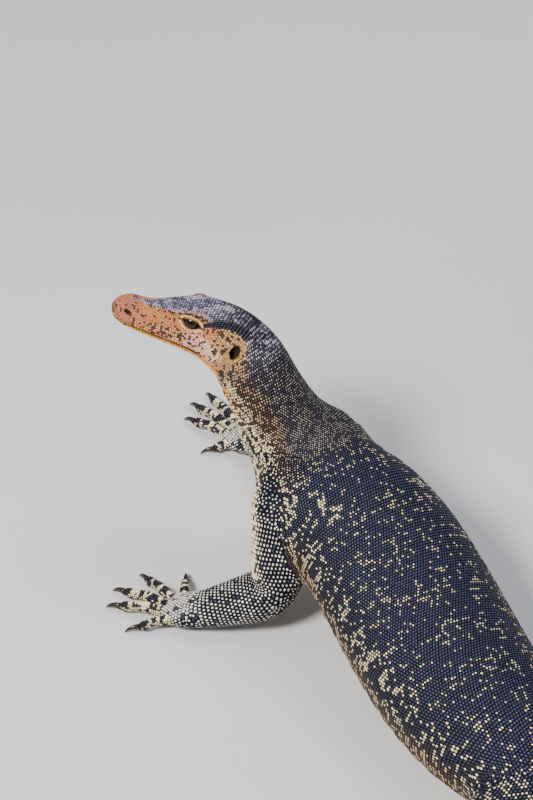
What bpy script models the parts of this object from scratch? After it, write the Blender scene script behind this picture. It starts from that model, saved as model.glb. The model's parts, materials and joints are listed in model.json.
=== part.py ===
"""A water monitor lizard, Varanus salvator, life size: a still model at rest on a floor.

The animal faces -X with its left side towards -Y. It props its chest up on its arms with the neck and
head raised, and its belly, thighs and tail lie along the floor. One long body runs from snout to tail
tip and four limbs leave it. Each is a skin of rings along a curved line, so a joint between two nodes is
two flat faces set SEAM apart.
"""
import math

import bmesh
import bpy
import numpy as np

# Driving dimensions, in metres and degrees. Places are measured from the middle of the left palm.
SEAM = 0.0003
FLOOR_SINK = 0.0012
SNOUT = (-0.058, 0.123, 0.1985)
HEAD_YAW = 13.0
HEAD_PITCH = 6.5
NECK_AND_TRUNK = [
    (0.0405, 0.0965, 0.1800),
    (0.0485, 0.0885, 0.1650),
    (0.0565, 0.0825, 0.1490),
    (0.0655, 0.0780, 0.1330),
    (0.0775, 0.0700, 0.1165),
    (0.0967, 0.0510, 0.1000),
    (0.1285, 0.0075, 0.0850),
    (0.1565, -0.0405, 0.0670),
    (0.1780, -0.0855, 0.0530),
    (0.1985, -0.1305, 0.0460),
    (0.2240, -0.1740, 0.0440),
    (0.2560, -0.2120, 0.0420),
    (0.2930, -0.2440, 0.0380),
]
TAIL = [
    (0.337, -0.273),
    (0.394, -0.295),
    (0.466, -0.303),
    (0.549, -0.291),
    (0.641, -0.270),
    (0.751, -0.264),
    (0.861, -0.286),
    (0.961, -0.317),
    (1.051, -0.330),
    (1.126, -0.319),
    (1.181, -0.294),
]
BODY_LENGTH = 1.600

# Distance from the snout, half width, height above and below the line, and how square the top and the
# underside are (2 is an ellipse).
BODY_SECTIONS = [
    (0.000, 0.0010, 0.0010, 0.0010, 2.0, 2.0),
    (0.0015, 0.0052, 0.0050, 0.0052, 2.2, 2.2),
    (0.006, 0.0096, 0.0082, 0.0093, 2.4, 2.3),
    (0.014, 0.0128, 0.0110, 0.0122, 2.6, 2.3),
    (0.024, 0.0148, 0.0118, 0.0142, 2.7, 2.3),
    (0.036, 0.0170, 0.0132, 0.0158, 2.8, 2.3),
    (0.050, 0.0198, 0.0164, 0.0168, 2.9, 2.3),
    (0.0645, 0.0222, 0.0200, 0.0190, 2.9, 2.3),
    (0.080, 0.0250, 0.0218, 0.0228, 2.7, 2.2),
    (0.095, 0.0272, 0.0236, 0.0260, 2.5, 2.2),
    (0.108, 0.0278, 0.0250, 0.0286, 2.3, 2.1),
    (0.125, 0.0280, 0.0270, 0.0290, 2.1, 2.0),
    (0.150, 0.0295, 0.0290, 0.0280, 2.0, 2.0),
    (0.180, 0.0330, 0.0302, 0.0345, 2.0, 2.0),
    (0.205, 0.0388, 0.0322, 0.0408, 2.0, 2.1),
    (0.245, 0.0490, 0.0370, 0.0460, 2.0, 2.2),
    (0.285, 0.0580, 0.0420, 0.0480, 2.1, 2.2),
    (0.330, 0.0625, 0.0440, 0.0475, 2.1, 2.2),
    (0.380, 0.0630, 0.0450, 0.0470, 2.1, 2.3),
    (0.430, 0.0622, 0.0445, 0.0460, 2.1, 2.4),
    (0.480, 0.0600, 0.0430, 0.0440, 2.1, 2.4),
    (0.530, 0.0550, 0.0415, 0.0420, 2.1, 2.3),
    (0.570, 0.0460, 0.0400, 0.0390, 2.0, 2.2),
    (0.600, 0.0395, 0.0380, 0.0360, 1.9, 2.1),
    (0.650, 0.0300, 0.0335, 0.0310, 1.8, 2.1),
    (0.720, 0.0225, 0.0300, 0.0255, 1.7, 2.1),
    (0.820, 0.0175, 0.0275, 0.0220, 1.6, 2.1),
    (0.950, 0.0135, 0.0245, 0.0185, 1.6, 2.1),
    (1.100, 0.0100, 0.0205, 0.0150, 1.6, 2.1),
    (1.250, 0.0072, 0.0155, 0.0110, 1.6, 2.1),
    (1.400, 0.0048, 0.0095, 0.0070, 1.7, 2.1),
    (1.520, 0.0030, 0.0050, 0.0040, 1.8, 2.0),
    (1.590, 0.0016, 0.0022, 0.0020, 2.0, 2.0),
    (1.600, 0.0007, 0.0009, 0.0009, 2.0, 2.0),
]
ROOF_TAPER = 0.30
LIES_DOWN_AT = 0.400
LIES_FLAT_AT = 0.480

# Where the body is parted, as distances from the snout.
HEAD_END = 0.121
NECK_END = 0.212
TORSO_END = 0.640
TAIL_ENDS = (0.790, 0.960, 1.150, 1.360)
TAIL_NAMES = ("tail_base", "tail_upper", "tail_middle", "tail_lower", "tail_tip")

# The head's own features: distance from the snout, distance from the middle, height above the line.
EYE = (0.0645, 0.0112, 0.0105)
EYE_RADIUS = 0.0068
LID = 0.0009
EYE_SLIT = (0.0064, 0.0035)
EYE_TILT = -8.0
NOSTRIL = (0.0142, 0.0118, 0.0058)
NOSTRIL_SIZE = (0.0028, 0.0024, 0.0018)
EAR = (0.1030, 0.0205, 0.0124)
EAR_SIZE = (0.0035, 0.0040, 0.0074)
EAR_TILT = 18.0
MOUTH_ANGLE = -20.0
MOUTH_CORNER = 0.073
MOUTH_DEPTH = 0.0010
LIP_SWELL = 0.0005
EYE_FACES_UP = 16.0
# Swellings (+) and hollows (-) of the head's sides: how far, distance from the snout and height, and the
# reach of each. They are the hollow before the eye, nostril, temple and corner of the jaw.
SIDE_FORMS = [(-0.0016, 0.040, 0.0035, 0.014, 0.0055), (0.0012, 0.0142, 0.0050, 0.0055, 0.0060),
              (0.0010, 0.086, 0.0080, 0.012, 0.0060), (0.0016, 0.088, -0.0090, 0.013, 0.0070)]
BROW_RIDGE = (0.0012, 0.064, 0.0165, 0.013, 0.0030)
# The same for its top, with the distance from the middle for the height: saddle of the snout, hollow
# between the eyes, and the roof over each eye.
TOP_FORMS = [(-0.0012, 0.029, 0.0, 0.010, 0.1), (-0.0012, 0.060, 0.0, 0.016, 0.0060),
             (0.0008, 0.064, 0.0120, 0.011, 0.0045)]

# Limbs: points from the root inside the body to the wrist or ankle, then the palm or sole to the knuckles.
ARM_LEFT = [(0.0790, 0.0270, 0.1000), (0.0700, 0.0120, 0.0960), (0.0650, -0.0050, 0.0680),
            (0.0660, -0.0135, 0.0365), (0.0400, -0.0145, 0.0250), (0.0095, -0.0145, 0.0155),
            (-0.0060, -0.0070, 0.0085), (-0.0160, -0.0010, 0.0070)]
ARM_RIGHT = [(0.1040, 0.0740, 0.0990), (0.1050, 0.0895, 0.0935), (0.0975, 0.1160, 0.0740),
             (0.0890, 0.1400, 0.0510), (0.0710, 0.1690, 0.0320), (0.0510, 0.1925, 0.0150),
             (0.0370, 0.2035, 0.0085), (0.0280, 0.2105, 0.0070)]
LEG_LEFT = [(0.2640, -0.2340, 0.0400), (0.2380, -0.2540, 0.0380), (0.2080, -0.2720, 0.0390),
            (0.1800, -0.2960, 0.0380), (0.1980, -0.3290, 0.0260), (0.2220, -0.3540, 0.0155),
            (0.2215, -0.3760, 0.0100), (0.2155, -0.3950, 0.0075)]
LEG_RIGHT = [(0.3030, -0.2090, 0.0400), (0.3220, -0.1830, 0.0380), (0.3260, -0.1510, 0.0390),
             (0.3340, -0.1180, 0.0380), (0.3640, -0.1020, 0.0260), (0.3900, -0.0920, 0.0155),
             (0.4025, -0.0760, 0.0100), (0.4110, -0.0580, 0.0075)]

# Share of the way from root to wrist, half width across, half thickness.
ARM_SECTIONS = [(0.00, 0.0270, 0.0260), (0.15, 0.0250, 0.0240), (0.32, 0.0200, 0.0195),
                (0.52, 0.0192, 0.0190), (0.66, 0.0202, 0.0192), (0.82, 0.0188, 0.0168),
                (1.00, 0.0165, 0.0130)]
LEG_SECTIONS = [(0.00, 0.0340, 0.0330), (0.16, 0.0300, 0.0300), (0.34, 0.0255, 0.0250),
                (0.54, 0.0205, 0.0200), (0.70, 0.0185, 0.0170), (0.86, 0.0155, 0.0130),
                (1.00, 0.0145, 0.0122)]
# The same for palm and sole, as shares of the way from wrist to knuckles.
HAND_SECTIONS = [(0.00, 0.0165, 0.0130), (0.45, 0.0182, 0.0106), (0.80, 0.0172, 0.0086),
                 (1.00, 0.0125, 0.0062)]
FOOT_SECTIONS = [(0.00, 0.0145, 0.0122), (0.40, 0.0165, 0.0105), (0.80, 0.0180, 0.0085),
                 (1.00, 0.0135, 0.0062)]
LIMB_SOFTNESS = 0.0095
ROOT_CUT = 0.24
JOINT_CUT = 0.52

# Digits: bearing of the root round the palm, bearing it points in, length, thickness. Bearings are turned
# from the palm's own heading, inner side negative.
HAND_LEFT = [(-60, -60, 0.025, 0.0038), (-26, -22, 0.035, 0.0041), (4, 1, 0.038, 0.0041),
             (36, 15, 0.036, 0.0041), (84, 40, 0.025, 0.0037)]
HAND_RIGHT = [(-84, -44, 0.013, 0.0038), (-24, 2, 0.033, 0.0041), (10, 13, 0.042, 0.0041),
              (42, 24, 0.047, 0.0041), (92, 62, 0.030, 0.0037)]
FOOT = [(-76, -40, 0.024, 0.0041), (-30, -19, 0.036, 0.0044), (2, -3, 0.046, 0.0045),
        (32, 12, 0.053, 0.0045), (92, 58, 0.034, 0.0040)]
KNUCKLE_RADIUS = 0.0135
KNUCKLE_HEIGHT = 0.0098
CLAW_LENGTH = 0.0125
CLAW_DROOP = 52.0
CLAW_LIFT = 12.0
CLAW_WIDTH = 0.50
CLAW_HEIGHT = 0.66
CLAW_POINT = (0.00022, 0.00025)
# Share of the way along a digit and its height there.
DIGIT_ARCH = [(0.30, 0.0090), (0.55, 0.0088), (0.80, 0.0062), (1.0, 0.0050)]
# The joints of a digit: share of the way along and reach.
JOINTS = [(0.50, 0.10), (0.88, 0.09)]

# How finely each skin is ringed.
BODY_COLUMNS = 30
LIMB_COLUMNS = 14
TAIL_COLUMNS = 16
DIGIT_COLUMNS = 8
CLAW_COLUMNS = 6
HEAD_RING = 0.0042
NECK_RING = 0.0100
TRUNK_RING = 0.0150
TAIL_RING = 0.0210
LIMB_RING = 0.0110
DIGIT_RINGS = (0.0, 0.22, 0.38, 0.50, 0.62, 0.76, 0.88, 0.95, 1.0)
CLAW_RINGS = (0.0, 0.22, 0.45, 0.68, 0.88, 1.0)

# Colours, roughness.
FINISHES = {
    "head": ((0.42, 0.24, 0.13), 0.55),
    "neck": ((0.16, 0.12, 0.08), 0.60),
    "torso": ((0.055, 0.055, 0.060), 0.60),
    "tail": ((0.060, 0.060, 0.060), 0.60),
    "limb": ((0.085, 0.085, 0.085), 0.60),
    "claw": ((0.030, 0.022, 0.018), 0.30),
    "eye": ((0.035, 0.018, 0.010), 0.08),
}

# Middle of the box and its floor, which the whole animal is moved by so that it stands on the origin.
BOX_MIDDLE = (0.5570, -0.0936)


def finish(name):
    """The material of one kind of surface."""
    found = bpy.data.materials.get(name)
    if found:
        return found
    colour, roughness = FINISHES[name]
    material = bpy.data.materials.new(name)
    material.use_nodes = True
    shader = material.node_tree.nodes["Principled BSDF"]
    shader.inputs["Base Color"].default_value = (*colour, 1.0)
    shader.inputs["Roughness"].default_value = roughness
    shader.inputs["Metallic"].default_value = 0.0
    material.diffuse_color = (*colour, 1.0)
    return material


def clear_scene():
    for item in list(bpy.data.objects):
        bpy.data.objects.remove(item, do_unlink=True)


class Line:
    """A smooth curve through points, with a side and an up direction carried along it."""

    STEP = 0.001

    def __init__(self, points, softness, level):
        rough = self.catmull_rom(np.asarray(points, float))
        even = self.evenly(rough)
        soft = self.softened(even, softness)
        self.points = self.evenly(soft)
        lengths = np.linalg.norm(np.diff(self.points, axis=0), axis=1)
        self.distance = np.concatenate([[0.0], np.cumsum(lengths)])
        self.length = float(self.distance[-1])
        ahead = np.gradient(self.points, self.distance, axis=0)
        self.ahead = ahead / np.linalg.norm(ahead, axis=1, keepdims=True)
        self.side = self.level_sides() if level else self.carried_sides()
        self.up = np.cross(self.side, self.ahead)

    @staticmethod
    def catmull_rom(points, per_span=16):
        first = 2 * points[0] - points[1]
        last = 2 * points[-1] - points[-2]
        padded = np.vstack([first, points, last])
        share = np.linspace(0, 1, per_span, endpoint=False)[:, None]
        spans = []
        for a, b, c, d in zip(padded, padded[1:], padded[2:], padded[3:]):
            square = (2 * a - 5 * b + 4 * c - d) * share ** 2
            cubic = (3 * b - a - 3 * c + d) * share ** 3
            spans.append(0.5 * (2 * b + (c - a) * share + square + cubic))
        return np.vstack(spans + [points[-1:]])

    def evenly(self, points):
        lengths = np.concatenate([[0.0], np.cumsum(np.linalg.norm(np.diff(points, axis=0), axis=1))])
        count = max(2, int(round(lengths[-1] / self.STEP)))
        wanted = np.linspace(0, lengths[-1], count + 1)
        return np.stack([np.interp(wanted, lengths, points[:, axis]) for axis in range(3)], axis=1)

    def softened(self, points, softness):
        reach = int(round(3 * softness / self.STEP))
        reach = min(reach, len(points) - 1)
        before = 2 * points[0] - points[reach:0:-1]
        after = 2 * points[-1] - points[-2:-reach - 2:-1]
        padded = np.vstack([before, points, after])
        offsets = np.arange(-reach, reach + 1) * self.STEP
        weights = np.exp(-0.5 * (offsets / softness) ** 2)
        weights /= weights.sum()
        return np.stack([np.convolve(padded[:, axis], weights, "valid") for axis in range(3)], axis=1)

    def level_sides(self):
        sides = np.cross(self.ahead, (0.0, 0.0, 1.0))
        return sides / np.linalg.norm(sides, axis=1, keepdims=True)

    def carried_sides(self):
        """Sides turned as little as possible, starting level at the far end."""
        sides = np.empty_like(self.ahead)
        side = np.cross(self.ahead[-1], (0.0, 0.0, 1.0))
        for index in range(len(sides) - 1, -1, -1):
            side = side - self.ahead[index] * (side @ self.ahead[index])
            side = side / np.linalg.norm(side)
            sides[index] = side
        return sides

    def read(self, table, distance):
        return np.stack([np.interp(distance, self.distance, table[:, axis]) for axis in range(3)], axis=-1)

    def place(self, distance, across, above):
        """World points at a distance along the line, out to the side and up from it."""
        beyond = distance - np.clip(distance, 0.0, self.length)
        middle = self.read(self.points, distance) + beyond[..., None] * self.read(self.ahead, distance)
        return (middle + across[..., None] * self.read(self.side, distance)
                + above[..., None] * self.read(self.up, distance))


def profile(rows, distance):
    """Every column of a table of stations, joined by a smooth curve that never overshoots."""
    table = np.asarray(rows, float)
    known = table[:, 0]
    steps = np.diff(known)
    place = np.clip(np.searchsorted(known, distance, side="right") - 1, 0, len(known) - 2)
    share = np.clip((distance - known[place]) / steps[place], 0.0, 1.0)
    columns = []
    for column in table[:, 1:].T:
        slopes = np.diff(column) / steps
        tangents = np.zeros_like(column)
        same_way = slopes[:-1] * slopes[1:] > 0
        weights = (2 * steps[1:] + steps[:-1], steps[1:] + 2 * steps[:-1])
        safe = np.where(same_way, slopes[:-1], 1.0), np.where(same_way, slopes[1:], 1.0)
        mean = (weights[0] + weights[1]) / (weights[0] / safe[0] + weights[1] / safe[1])
        tangents[1:-1] = np.where(same_way, mean, 0.0)
        tangents[0], tangents[-1] = slopes[0], slopes[-1]
        low, high = column[place], column[place + 1]
        rise, fall = tangents[place] * steps[place], tangents[place + 1] * steps[place]
        squared, cubed = share ** 2, share ** 3
        columns.append((2 * cubed - 3 * squared + 1) * low + (cubed - 2 * squared + share) * rise
                       + (3 * squared - 2 * cubed) * high + (cubed - squared) * fall)
    return columns


def ease(value, start, end):
    share = np.clip((value - start) / (end - start), 0.0, 1.0)
    return share * share * (3 - 2 * share)


def bump(first, second, centre, reach):
    """A round swelling of height 1 over two measures."""
    return np.exp(-((first - centre[0]) / reach[0]) ** 2 - ((second - centre[1]) / reach[1]) ** 2)


def body_line():
    """The line from snout to tail tip. Where the belly and tail lie down, it rides its own half depth."""
    yaw, pitch = math.radians(HEAD_YAW), math.radians(HEAD_PITCH)
    back = np.array([math.cos(pitch) * math.cos(yaw), -math.cos(pitch) * math.sin(yaw), -math.sin(pitch)])
    head = [tuple(np.array(SNOUT) + back * distance) for distance in (0.0, 0.028, 0.056, 0.082)]
    tail = [(x, y, NECK_AND_TRUNK[-1][2] * 0.8) for x, y in TAIL]
    points = head + NECK_AND_TRUNK + tail
    line = Line(points, 0.009, level=True)
    depth = profile(BODY_SECTIONS, line.distance * BODY_LENGTH / line.length)[2]
    lying = ease(line.distance, LIES_DOWN_AT, LIES_FLAT_AT)
    height = line.points[:, 2] * (1 - lying) + (depth - FLOOR_SINK) * lying
    return Line(np.column_stack([line.points[:, :2], height])[::8], 0.006, level=True)


def ring_angles(columns):
    """Angles round a ring from the left side up and over, closer together near the line of the mouth."""
    even = np.linspace(-math.pi / 2, math.pi / 2, columns // 2 + 1)
    mouth = math.radians(MOUTH_ANGLE)
    half = even - 0.16 * np.sin(2 * (even - mouth)) * np.exp(-((even - mouth) / 0.8) ** 2)
    nearest = np.argmin(np.abs(half - mouth))
    half[nearest] = mouth
    return np.concatenate([half, math.pi - half[-2:0:-1]])


def round_angles(columns):
    return np.linspace(0, 2 * math.pi, columns, endpoint=False)


def head_relief(distance, across, above):
    """Snout, brow, temple, cheek, lips and the pits of eye, nostril and ear, pushed in or out."""
    left = np.sign(across)
    side = np.abs(across)
    on_head = 1 - ease(distance, 0.112, 0.140)
    off_middle = side > 0.004
    for height, *place in SIDE_FORMS:
        side = side + height * bump(distance, above, place[:2], place[2:])
    height, *place = BROW_RIDGE
    side = side + height * bump(distance, above, place[:2], place[2:]) * off_middle
    behind = distance - EYE[0], side - EYE[1], above - EYE[2]
    reach = np.sqrt(behind[0] ** 2 + behind[1] ** 2 + behind[2] ** 2)
    covered = np.where(behind[1] > -0.002, EYE_RADIUS + LID - reach, 0.0).clip(0.0)
    side = side + covered * behind[1] / reach
    above = above + covered * behind[2] / reach
    distance = distance + covered * behind[0] / reach
    top = ease(above, 0.004, 0.010)
    for height, *place in TOP_FORMS:
        above = above + height * top * bump(distance, side, place[:2], place[2:])
    return distance, left * side * on_head + across * (1 - on_head), above


def mouth_groove(distance, angles):
    """How deep the closed mouth cuts in at each place, and how far the lips beside it stand out."""
    mouth = math.radians(MOUTH_ANGLE)
    round_side = np.arcsin(np.clip(np.sin(angles), -1, 1))
    reach = 1 - ease(distance, MOUTH_CORNER - 0.010, MOUTH_CORNER)
    cut = np.exp(-((round_side - mouth) / 0.075) ** 2)
    lips = np.exp(-((np.abs(round_side - mouth) - 0.20) / 0.13) ** 2)
    return reach * (MOUTH_DEPTH * cut - LIP_SWELL * lips) * ease(distance, -0.002, 0.008)


def body_points(line, distance, angles, grown=0.0):
    """World points of the body's skin at every distance and angle, or of one a little larger."""
    distance, angles = np.meshgrid(distance, angles, indexing="ij")
    scale = BODY_LENGTH / line.length
    width, up, down, top_power, under_power = profile(BODY_SECTIONS, distance * scale)
    width, up, down = width + grown, up + grown, down + grown
    sine, cosine = np.sin(angles), np.cos(angles)
    power = np.where(sine > 0, top_power, under_power)
    across = width * np.sign(cosine) * np.abs(cosine) ** (2 / power)
    above = np.where(sine > 0, up, down) * np.sign(sine) * np.abs(sine) ** (2 / power)
    roof = (1 - ease(distance, 0.090, 0.125)) * ease(distance, 0.0, 0.020)
    across = across * (1 - ROOF_TAPER * roof * ease(above / up, -0.3, 1.0))
    groove = 1 - mouth_groove(distance, angles) / np.hypot(across, above).clip(0.002)
    distance, across, above = head_relief(distance, across * groove, above * groove)
    return line.place(distance, across, above)


def tube(name, rings, kind):
    """A closed skin over rings of points, with flat ends."""
    count, columns = rings.shape[:2]
    mesh = bpy.data.meshes.new(name)
    faces = [tuple(range(columns)), tuple((count - 1) * columns + i for i in reversed(range(columns)))]
    for ring in range(count - 1):
        low, high = ring * columns, (ring + 1) * columns
        for i in range(columns):
            j = (i + 1) % columns
            faces.append((low + j, low + i, high + i, high + j))
    mesh.from_pydata(rings.reshape(-1, 3).tolist(), [], faces)
    mesh.validate()
    mesh.update()
    shell = bmesh.new()
    shell.from_mesh(mesh)
    bmesh.ops.recalc_face_normals(shell, faces=shell.faces)
    bmesh.ops.triangulate(shell, faces=shell.faces)
    if shell.calc_volume(signed=True) < 0:
        bmesh.ops.reverse_faces(shell, faces=shell.faces)
    shell.to_mesh(mesh)
    shell.free()
    mesh.materials.append(finish(kind))
    made = bpy.data.objects.new(name, mesh)
    bpy.context.scene.collection.objects.link(made)
    return made


def ball(name, radii, turn, centre, rings, kind):
    """An ellipsoid with three half sizes, turned by a 3 x 3 matrix."""
    shell = bmesh.new()
    bmesh.ops.create_uvsphere(shell, u_segments=2 * rings, v_segments=rings, radius=1.0)
    mesh = bpy.data.meshes.new(name)
    shell.to_mesh(mesh)
    shell.free()
    points = np.array([vertex.co for vertex in mesh.vertices]) * radii
    for vertex, place in zip(mesh.vertices, points @ np.asarray(turn).T + centre):
        vertex.co = place
    mesh.materials.append(finish(kind))
    mesh.update()
    made = bpy.data.objects.new(name, mesh)
    bpy.context.scene.collection.objects.link(made)
    return made


def combine(target, others, operation, solver="EXACT"):
    """Joins other closed shapes to the target, or cuts them away, and removes them."""
    group = bpy.data.collections.new("others")
    bpy.context.scene.collection.children.link(group)
    for other in others:
        group.objects.link(other)
    boolean = target.modifiers.new("combine", "BOOLEAN")
    boolean.operation = operation
    boolean.operand_type = "COLLECTION"
    boolean.collection = group
    boolean.solver = solver
    bpy.context.view_layer.update()
    evaluated = target.evaluated_get(bpy.context.evaluated_depsgraph_get())
    result = bpy.data.meshes.new_from_object(evaluated)
    target.modifiers.clear()
    target.data = result
    for other in others:
        bpy.data.objects.remove(other, do_unlink=True)
    bpy.data.collections.remove(group)


def largest_body(target):
    """Keeps only the largest closed surface of an object."""
    shell = bmesh.new()
    shell.from_mesh(target.data)
    bmesh.ops.triangulate(shell, faces=shell.faces)
    bmesh.ops.remove_doubles(shell, verts=shell.verts, dist=2e-6)
    bmesh.ops.dissolve_degenerate(shell, edges=shell.edges, dist=2e-6)
    bmesh.ops.triangulate(shell, faces=shell.faces)
    unseen = set(shell.verts)
    groups = []
    while unseen:
        stack = [unseen.pop()]
        group = set(stack)
        while stack:
            for edge in stack.pop().link_edges:
                for vertex in edge.verts:
                    if vertex in unseen:
                        unseen.discard(vertex)
                        group.add(vertex)
                        stack.append(vertex)
        groups.append(group)
    keep = max(groups, key=len)
    bmesh.ops.delete(shell, geom=[v for v in shell.verts if v not in keep], context="VERTS")
    shell.to_mesh(target.data)
    shell.free()


def rest_on_floor(target):
    """Flattens whatever reaches below the floor, so that it rests on a small flat."""
    for vertex in target.data.vertices:
        vertex.co.z = max(vertex.co.z, 0.0)


def move_to_origin():
    for item in bpy.data.objects:
        for vertex in item.data.vertices:
            vertex.co.x -= BOX_MIDDLE[0]
            vertex.co.y -= BOX_MIDDLE[1]
        item.data.shade_smooth()
        item.data.set_sharp_from_angle(angle=math.radians(40))


def ring_places(start, end, spacing):
    return np.linspace(start, end, max(2, int(round((end - start) / spacing)) + 1))


def head_axes(line, place):
    """World point on the head at a distance, side offset and height, with the directions there."""
    distance = np.array([place[0]])
    middle = line.place(distance, np.array([place[1]]), np.array([place[2]]))[0]
    side = line.read(line.side, distance)[0]
    up = line.read(line.up, distance)[0]
    back = line.read(line.ahead, distance)[0]
    return middle, back, side, up


def turned(first, second, degrees):
    """Two directions turned in their own plane."""
    angle = math.radians(degrees)
    return (first * math.cos(angle) + second * math.sin(angle),
            second * math.cos(angle) - first * math.sin(angle))


def eye_slit_cutter(name, line, hand):
    """A flared almond that opens the lids over the eyeball."""
    middle, back, side, up = head_axes(line, (EYE[0], EYE[1] * hand, EYE[2]))
    rise = math.radians(EYE_FACES_UP)
    out = side * hand * math.cos(rise) + up * math.sin(rise)
    high = up - out * (up @ out)
    high /= np.linalg.norm(high)
    along, high = turned(back, high, EYE_TILT)
    rings = []
    for depth, flare in ((0.0030, 0.80), (EYE_RADIUS, 1.0), (0.0110, 1.45)):
        ring = []
        for angle in round_angles(16):
            x = EYE_SLIT[0] * math.cos(angle) * flare
            z = EYE_SLIT[1] * math.sin(angle) * abs(math.sin(angle)) ** 0.35 * flare
            ring.append(middle + out * depth + along * x + high * z)
        rings.append(ring)
    return tube(name, np.array(rings), "head")


def make_head(line, angles):
    front = np.array([0.0, 0.0004, 0.0015, 0.0035, 0.0065])
    rings = np.concatenate([front, ring_places(0.0100, HEAD_END - SEAM / 2, HEAD_RING)])
    head = tube("head", body_points(line, rings, angles), "head")
    cutters = []
    for label, hand in (("left", 1), ("right", -1)):
        middle, back, side, up = head_axes(line, (EYE[0], EYE[1] * hand, EYE[2]))
        whole = np.eye(3)
        radius = EYE_RADIUS + SEAM
        cutters.append(ball("socket_" + label, (radius,) * 3, whole, middle, 10, "head"))
        ball("eye_" + label, (EYE_RADIUS,) * 3, whole, middle, 10, "eye")
        cutters.append(eye_slit_cutter("slit_" + label, line, hand))
        middle, back, side, up = head_axes(line, (NOSTRIL[0], NOSTRIL[1] * hand, NOSTRIL[2]))
        turn = np.column_stack([back, -side, up])
        cutters.append(ball("nostril_" + label, NOSTRIL_SIZE, turn, middle, 6, "head"))
        middle, back, side, up = head_axes(line, (EAR[0], EAR[1] * hand, EAR[2]))
        back, up = turned(back, up, EAR_TILT)
        turn = np.column_stack([back, -side, up])
        cutters.append(ball("ear_" + label, EAR_SIZE, turn, middle, 8, "head"))
    combine(head, cutters, "DIFFERENCE")
    largest_body(head)


class Limb:
    """An arm or a leg, from its root inside the body to its knuckles."""

    def __init__(self, name, points, sections, palm_sections, hand, digits):
        self.name = name
        self.line = Line(points, LIMB_SOFTNESS, level=False)
        wrist = np.linalg.norm(self.line.points - np.array(points[5]), axis=1).argmin()
        self.wrist = float(self.line.distance[wrist])
        self.sections = sections
        self.palm_sections = palm_sections
        self.hand = hand
        self.digits = digits

    def points_at(self, distance, angles, grown=0.0):
        distance, angles = np.meshgrid(distance, angles, indexing="ij")
        limb = profile(self.sections, distance / self.wrist)
        palm_share = (distance - self.wrist) / (self.line.length - self.wrist)
        palm = profile(self.palm_sections, palm_share)
        on_palm = distance > self.wrist
        across = (np.where(on_palm, palm[0], limb[0]) + grown) * np.cos(angles)
        above = (np.where(on_palm, palm[1], limb[1]) + grown) * np.sin(angles)
        return self.line.place(distance, across, above)

    def piece(self, name, start, end, kind="limb"):
        rings = ring_places(start, end, LIMB_RING)
        return tube(name, self.points_at(rings, round_angles(LIMB_COLUMNS)), kind)

    def heading(self):
        ahead = self.line.ahead[-1]
        return math.atan2(ahead[1], ahead[0])

    def palm_centre(self):
        middle = self.line.read(self.line.points, np.array([self.wrist * 0.45 + self.line.length * 0.55]))[0]
        return np.array([middle[0], middle[1], KNUCKLE_HEIGHT * 0.8])


def digit_line(limb, root_bearing, bearing, length):
    """A finger or toe: up over the knuckle, then down to the floor."""
    centre = limb.palm_centre()
    toward = limb.heading() + limb.hand * math.radians(root_bearing)
    point = limb.heading() + limb.hand * math.radians(bearing)
    root = centre + KNUCKLE_RADIUS * 0.55 * np.array([math.cos(toward), math.sin(toward), 0.0])
    knuckle = centre + KNUCKLE_RADIUS * np.array([math.cos(toward), math.sin(toward), 0.0])
    along = np.array([math.cos(point), math.sin(point), 0.0])
    places = [root, knuckle]
    for share, height in DIGIT_ARCH:
        place = knuckle + along * length * share
        place[2] = height
        places.append(place)
    return Line(places, 0.0018, level=True)


def digit_points(line, thickness, places, angles):
    share, angles = np.meshgrid(places, angles, indexing="ij")
    swell = sum(np.exp(-((share - middle) / reach) ** 2) for middle, reach in JOINTS)
    radius = thickness * (1.08 - 0.22 * share + 0.14 * swell) * (1 - 0.30 * ease(share, 0.93, 1.0))
    return line.place(share * line.length, radius * np.cos(angles), radius * np.sin(angles))


def claw_points(line, thickness, places, columns):
    """A hooked claw: its line bends down at an even rate from the digit's end."""
    end = line.points[-1]
    ahead = line.ahead[-1] * np.array([1, 1, 0])
    ahead /= np.linalg.norm(ahead)
    side = line.side[-1]
    up = np.array([0.0, 0.0, 1.0])
    lift = math.radians(CLAW_LIFT)
    bend = math.radians(CLAW_DROOP + CLAW_LIFT)
    rings = []
    for share in places:
        turn = bend * share - lift
        turns = bend * np.linspace(0, share, 12) - lift
        run = CLAW_LENGTH * share * np.cos(turns).mean()
        fall = CLAW_LENGTH * share * np.sin(turns).mean()
        middle = end + line.ahead[-1] * SEAM + ahead * run - up * fall
        normal = up * math.cos(turn) + ahead * math.sin(turn)
        taper = (1 - share) ** 0.75
        ring = []
        for angle in round_angles(columns):
            wide = thickness * CLAW_WIDTH * taper + CLAW_POINT[0]
            tall = thickness * CLAW_HEIGHT * taper + CLAW_POINT[1]
            ring.append(middle + side * wide * math.cos(angle) + normal * tall * math.sin(angle))
        rings.append(ring)
    rings = np.array(rings)
    rings[0] = rings[0] - ((rings[0] - end) @ line.ahead[-1] - SEAM)[:, None] * line.ahead[-1]
    return rings


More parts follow.
